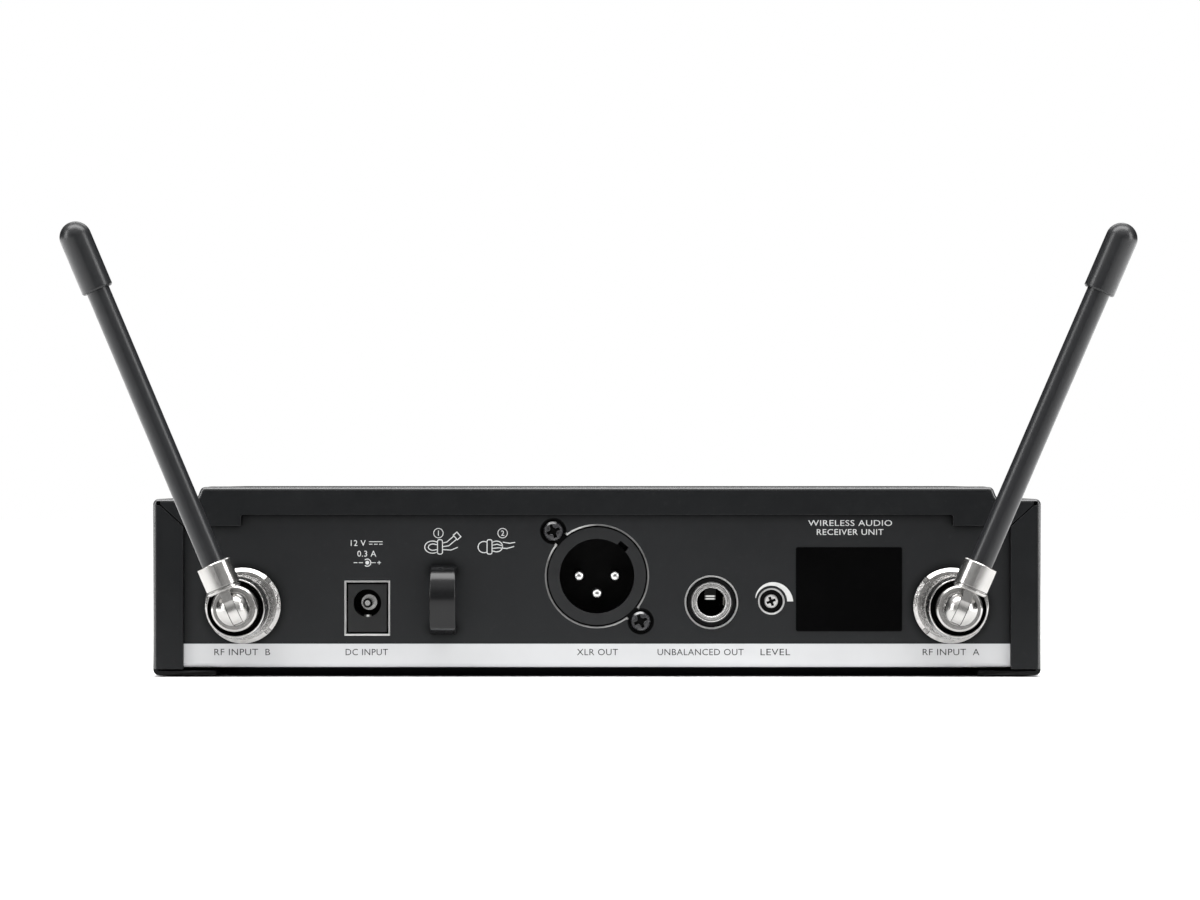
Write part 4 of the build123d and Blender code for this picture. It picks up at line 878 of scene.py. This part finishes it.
def silver_band():
    """The silver band along the panel's foot, following the folded bend."""
    profile = [(PANEL_Y, 7.2), (PANEL_Y, 5.0), (PANEL_Y, 3.2)]
    # it stops one step of eight short of the quarter turn
    for k in range(1, 8):
        angle = math.radians(90.0 * k / 8)
        profile.append((
            PANEL_Y - BEND_RADIUS + BEND_RADIUS * math.cos(angle),
            BEND_FOOT_Z + BEND_RADIUS - BEND_RADIUS * math.sin(angle),
        ))
    rows = len(profile)
    verts, faces = [], []
    for i in range(BAND_COLUMNS):
        x = -BAND_HALF + 2 * BAND_HALF * i / (BAND_COLUMNS - 1)
        for k, (y, z) in enumerate(profile):
            before = profile[max(0, k - 1)]
            after = profile[min(rows - 1, k + 1)]
            along = Vector((after[0] - before[0], after[1] - before[1])).normalized()
            for lift in (BAND_UNDER, BAND_OVER):
                verts.append((x * MM, (y - lift * along.y) * MM, (z + lift * along.x) * MM))
    for i in range(BAND_COLUMNS - 1):
        p, q = 2 * i * rows, 2 * (i + 1) * rows
        for k in range(0, 2 * (rows - 1), 2):
            faces += [(p + k + 1, p + k + 3, q + k + 3, q + k + 1),
                      (p + k, q + k, q + k + 2, p + k + 2)]
        faces.append((p, p + 1, q + 1, q))
        p, q = p + 2 * (rows - 1), q + 2 * (rows - 1)
        faces.append((p, q, q + 1, p + 1))
    for i in (0, BAND_COLUMNS - 1):
        for k in range(rows - 1):
            p = 2 * (i * rows + k)
            faces.append((p, p + 2, p + 3, p + 1))
    band = make_piece("silver_foot_band", verts, faces, STRIP_INK)
    for poly in band.data.polygons:
        poly.use_smooth = True
    band.data.set_sharp_from_angle(angle=math.radians(40))


# text, centre x, width
BAND_LEGENDS = (
    ("RF INPUT  B", 78.75, 12.4), ("DC INPUT", 51.1, 9.4), ("XLR OUT", -0.1, 9.1),
    ("UNBALANCED OUT", -23.0, 19.1), ("LEVEL", -39.6, 6.6), ("RF INPUT  A", -78.6, 12.6),
)


def band_legends():
    ink = Inkwork(PANEL_Y + BAND_OVER, thick=0.015)
    for text, x, width in BAND_LEGENDS:
        ink.words(text, x, z=5.35, height=1.42, width=width)
    ink.piece("band_legends", DARK_INK, "panel_sheet")


MARK_HEIGHT = 1.3
POLARITY_Z = 25.2


def supply_marks(ink):
    """Over the power inlet: volts with a direct-current sign, amps, polarity."""
    ink.words("12 V", x=53.0, z=29.55, height=MARK_HEIGHT)
    ink.stroke([(50.6, 29.85), (47.6, 29.85)], width=0.16)
    for k in range(3):
        shift = k * 1.12
        ink.stroke([(50.6 - shift, 29.3), (49.84 - shift, 29.3)], width=0.16)
    ink.words("0.3 A", x=51.1, z=27.2, height=MARK_HEIGHT)
    x = DC_AXIS[0]
    for start, end in ((54.0, 53.2), (52.9, 51.95)):
        ink.stroke([(start, POLARITY_Z), (end, POLARITY_Z)], width=0.15)
    ink.stroke(arc(x, POLARITY_Z, 0.8, 0.8, start=50, end=310, steps=30), width=0.2)
    ink.dot(x, POLARITY_Z, radius=0.42)
    for start, end in ((50.2, 49.1), (48.75, 47.95)):
        ink.stroke([(start, POLARITY_Z), (end, POLARITY_Z)], width=0.15)
    ink.stroke([(48.35, 25.6), (48.35, 24.8)], width=0.15)


# (x, z) points and whether the line closes, for the two cord routing pictures
CORD_PICTURES = (
    # one: a bight of cord pushed through the bridge, its ends leading off to a plug
    (rounded(34.3, 27.1, 35.4, 30.3, 0.4), True),
    ([(35.4, 29.75)] + arc(36.5, 28.65, 1.75, 1.35, 120, -120, 16) + [(35.4, 27.55)], False),
    ([(35.4, 29.15)] + arc(36.4, 28.65, 1.05, 0.7, 120, -120, 12) + [(35.4, 28.1)], False),
    ([(34.3, 29.55), (33.3, 29.8), (31.75, 31.15)], False),
    ([(34.3, 28.75), (32.9, 28.95), (31.15, 30.4)], False),
    ([(34.3, 28.1), (32.4, 28.0), (30.9, 28.6)], False),
    ([(31.9, 31.3), (31.0, 30.25), (30.2, 30.95), (31.1, 32.0)], True),
    # two: the ends taken back through the bight and drawn tight round the bridge
    (rounded(23.3, 27.1, 24.4, 30.3, 0.4), True),
    ([(24.4, 29.75)] + arc(25.1, 28.65, 1.3, 1.25, 120, -120, 16) + [(24.4, 27.55)], False),
    ([(23.3, 29.7)] + arc(22.3, 28.8, 1.35, 1.2, 60, 300, 18) + [(23.3, 27.7)], False),
    ([(23.3, 29.05), (22.2, 29.3), (20.9, 28.9)], False),
    ([(20.9, 29.75), (19.4, 29.5), (18.2, 29.7)], False),
    ([(23.3, 28.35), (21.9, 28.5), (20.0, 28.35), (18.4, 28.8)], False),
)


def panel_marks():
    ink = Inkwork(PANEL_Y + INK_GAP, thick=0.018)
    for text, z, width in (("WIRELESS AUDIO", 34.0, 18.6), ("RECEIVER UNIT", 32.0, 14.8)):
        ink.words(text, x=-56.2, z=z, height=MARK_HEIGHT, width=width)
    supply_marks(ink)
    # ringed numbers of the two pictures
    for text, x in (("1", 35.2), ("2", 20.95)):
        circle = arc(x, 31.75, 1.05, 1.05, start=0, end=360, steps=36)[:-1]
        ink.stroke(circle, width=0.15, closed=True)
        ink.words(text, x, z=31.75, height=1.15)
    for points, closed in CORD_PICTURES:
        ink.stroke(points, width=0.2, closed=closed)
    ink.piece("panel_marks", PALE_INK, "panel_sheet")


def level_crescent():
    """The crescent over the level trim, narrow at one end and wide at the other."""
    steps, sweep, inner_radius = 40, 168.0, 3.5
    x, z = TRIM_AXIS
    inner, outer = [], []
    for k in range(steps + 1):
        angle = math.radians(sweep - sweep * k / steps)
        outer_radius = 3.6 + 1.25 * (k / steps) ** 0.85
        for row, radius in ((inner, inner_radius), (outer, outer_radius)):
            row.append((x - radius * math.cos(angle), z + radius * math.sin(angle)))
    ink = Inkwork(PANEL_Y + INK_GAP, thick=0.02)
    ink.strip(inner, outer)
    ink.piece("level_crescent", WHITE_INK, "panel_sheet")


silver_band()
band_legends()
panel_marks()
level_crescent()

# ------------------------------------------------------------------ front legends
BEZEL_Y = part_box("front_bezel")[0].y * 1000
# text, centre x, centre z
FRONT_LEGENDS = (
    ("A", -56.0, 31.6), ("B", -56.0, 18.6), ("READY", -46.0, 31.6),
    ("AUDIO", -46.0, 18.6), ("GROUP", 24.0, 28.0), ("CHANNEL", 40.0, 28.0),
    ("POWER", 72.0, 35.6),
)
front_ink = Inkwork(BEZEL_Y - INK_GAP, thick=0.018, side=-1)
for text, x, z in FRONT_LEGENDS:
    front_ink.words(text, x, z, height=1.5)
front_ink.piece("front_legends", PALE_INK, "bezel_plastic")

# ------------------------------------------------------------------ floor (metres)
FLOOR_CELLS = 24
FLOOR_HALF = 4.0
FLOOR_Z = -0.00015


def floor_paper():
    """Paper lit from beneath as on a light table, for the camera only; out at the sides
    the lit paper also shows in the gloss of the whips and fittings."""
    paper = surface(
        "floor_paper", (0.86, 0.86, 0.86), (0.88, 0.88, 0.88), drift=3.0, rough=0.8,
        rough_var=0.04, spec=0.05, grain=300.0, grain_mm=0.03, grain_strength=0.1,
    )
    tree, shader = paper.node_tree, principled(paper)
    ray = add_node(tree, "LightPath").outputs
    place = add_node(tree, "SeparateXYZ", {0: coords(tree)}).outputs
    # no light from beneath under the receiver itself
    outside = maths(
        tree, "MAXIMUM",
        maths(tree, "GREATER_THAN", maths(tree, "ABSOLUTE", place["X"]), 0.0990),
        maths(tree, "GREATER_THAN", maths(tree, "ABSOLUTE", place["Y"]), 0.0668),
    )
    aside = ranged(
        tree, maths(tree, "ABSOLUTE", place["X"]), onto=(0.0, 2.1), span=(0.15, 0.25),
        smooth=True,
    )
    glow = maths(
        tree, "ADD", maths(tree, "MULTIPLY", ray["Is Camera Ray"], outside),
        maths(tree, "MULTIPLY", ray["Is Glossy Ray"], aside),
    )
    # in reflections the paper falls off into a dark room beyond the rear panel
    far = ranged(tree, place["Y"], onto=(0.0, 0.85), span=(0.085, 0.24), smooth=True)
    dark = maths(tree, "MULTIPLY", ray["Is Glossy Ray"], far)
    colour = shader.inputs["Base Color"].links[0].from_socket
    set_inputs(tree, shader, {
        "Emission Strength": maths(tree, "MULTIPLY", glow, 0.6),
        "Emission Color": (1, 1, 1),
        "Base Color": blend_colours(tree, dark, colour, (0.02, 0.02, 0.02)),
    })
    return paper


def pale_floor():
    ticks = [-FLOOR_HALF + 2 * FLOOR_HALF * i / FLOOR_CELLS for i in range(FLOOR_CELLS + 1)]
    verts = [(x, y, FLOOR_Z) for x in ticks for y in ticks]
    row = FLOOR_CELLS + 1
    faces = []
    for i in range(FLOOR_CELLS):
        for j in range(FLOOR_CELLS):
            p = i * row + j
            faces.append((p, p + row, p + row + 1, p + 1))
    mesh = bpy.data.meshes.new("pale_floor")
    mesh.from_pydata(verts, [], faces)
    floor = bpy.data.objects.new("pale_floor", mesh)
    scene.collection.objects.link(floor)
    mesh.materials.append(floor_paper())


pale_floor()

# ------------------------------------------------------------------ lights (metres, watts)
# name, place, target, size, size_y, power
AREA_LIGHTS = (
    ("top_softbox", (0.0, 0.14, 0.85), (0, 0.03, 0.03), 1.3, 0.4, 10.5),
    ("left_softbox", (0.95, 0.42, 0.33), (0, 0.06, 0.05), 0.3, 0.8, 4.4),
    ("right_softbox", (-0.95, 0.42, 0.33), (0, 0.06, 0.05), 0.3, 0.8, 4.4),
    ("front_fill", (0.0, -1.2, 1.1), (0, 0.0, 0.03), 1.2, 0.4, 4.0),
)
for name, place, target, size, size_y, power in AREA_LIGHTS:
    light = bpy.data.lights.new(name, "AREA")
    light.shape = "RECTANGLE"
    light.size = size
    light.size_y = size_y
    light.energy = power
    lamp = bpy.data.objects.new(name, light)
    scene.collection.objects.link(lamp)
    lamp.location = place
    lamp.rotation_mode = "QUATERNION"
    lamp.rotation_quaternion = (Vector(target) - Vector(place)).to_track_quat("-Z", "Y")


def studio_world():
    """Plain white to the camera; to all else a room lit from above and from the front."""
    world = bpy.data.worlds.new("studio")
    scene.world = world
    world.use_nodes = True
    tree = world.node_tree
    tree.nodes.clear()
    direction = add_node(tree, "TexCoord").outputs["Generated"]
    way = add_node(tree, "SeparateXYZ", {0: direction}).outputs
    overhead = ranged(tree, way["Z"], onto=(0.0, 0.75), span=(0.3, 0.9), smooth=True)
    level = ranged(tree, way["Y"], onto=(0.03, 0.42), span=(-0.25, 0.95), smooth=True)
    # the camera and the dark of the room round it show in whatever faces them squarely
    camera_shade = ranged(tree, way["Y"], onto=(1.0, 0.68), span=(0.84, 0.985), smooth=True)
    strength = maths(tree, "MULTIPLY", maths(tree, "ADD", overhead, level), camera_shade)
    seen = add_node(tree, "Background", {"Color": (1, 1, 1), "Strength": 1.0})
    room = add_node(tree, "Background", {"Color": (1, 1, 1), "Strength": strength})
    mix = add_node(tree, "MixShader", {
        0: add_node(tree, "LightPath").outputs["Is Camera Ray"],
        1: room.outputs[0],
        2: seen.outputs[0],
    })
    add_node(tree, "OutputWorld", {0: mix.outputs[0]})


studio_world()

# ------------------------------------------------------------------ camera, behind the rear panel
lens = bpy.data.cameras.new("camera")
lens.sensor_width = 36.0
lens.sensor_fit = "HORIZONTAL"
lens.lens = 148.8
lens.shift_y = 0.0233
lens.clip_start = 0.01
lens.clip_end = 50.0
camera = bpy.data.objects.new("camera", lens)
scene.collection.objects.link(camera)
camera.location = (-0.00067, 1.167, 0.044)
camera.rotation_euler = (math.radians(90), 0, math.radians(180))
scene.camera = camera
scene.view_settings.view_transform = "Standard"
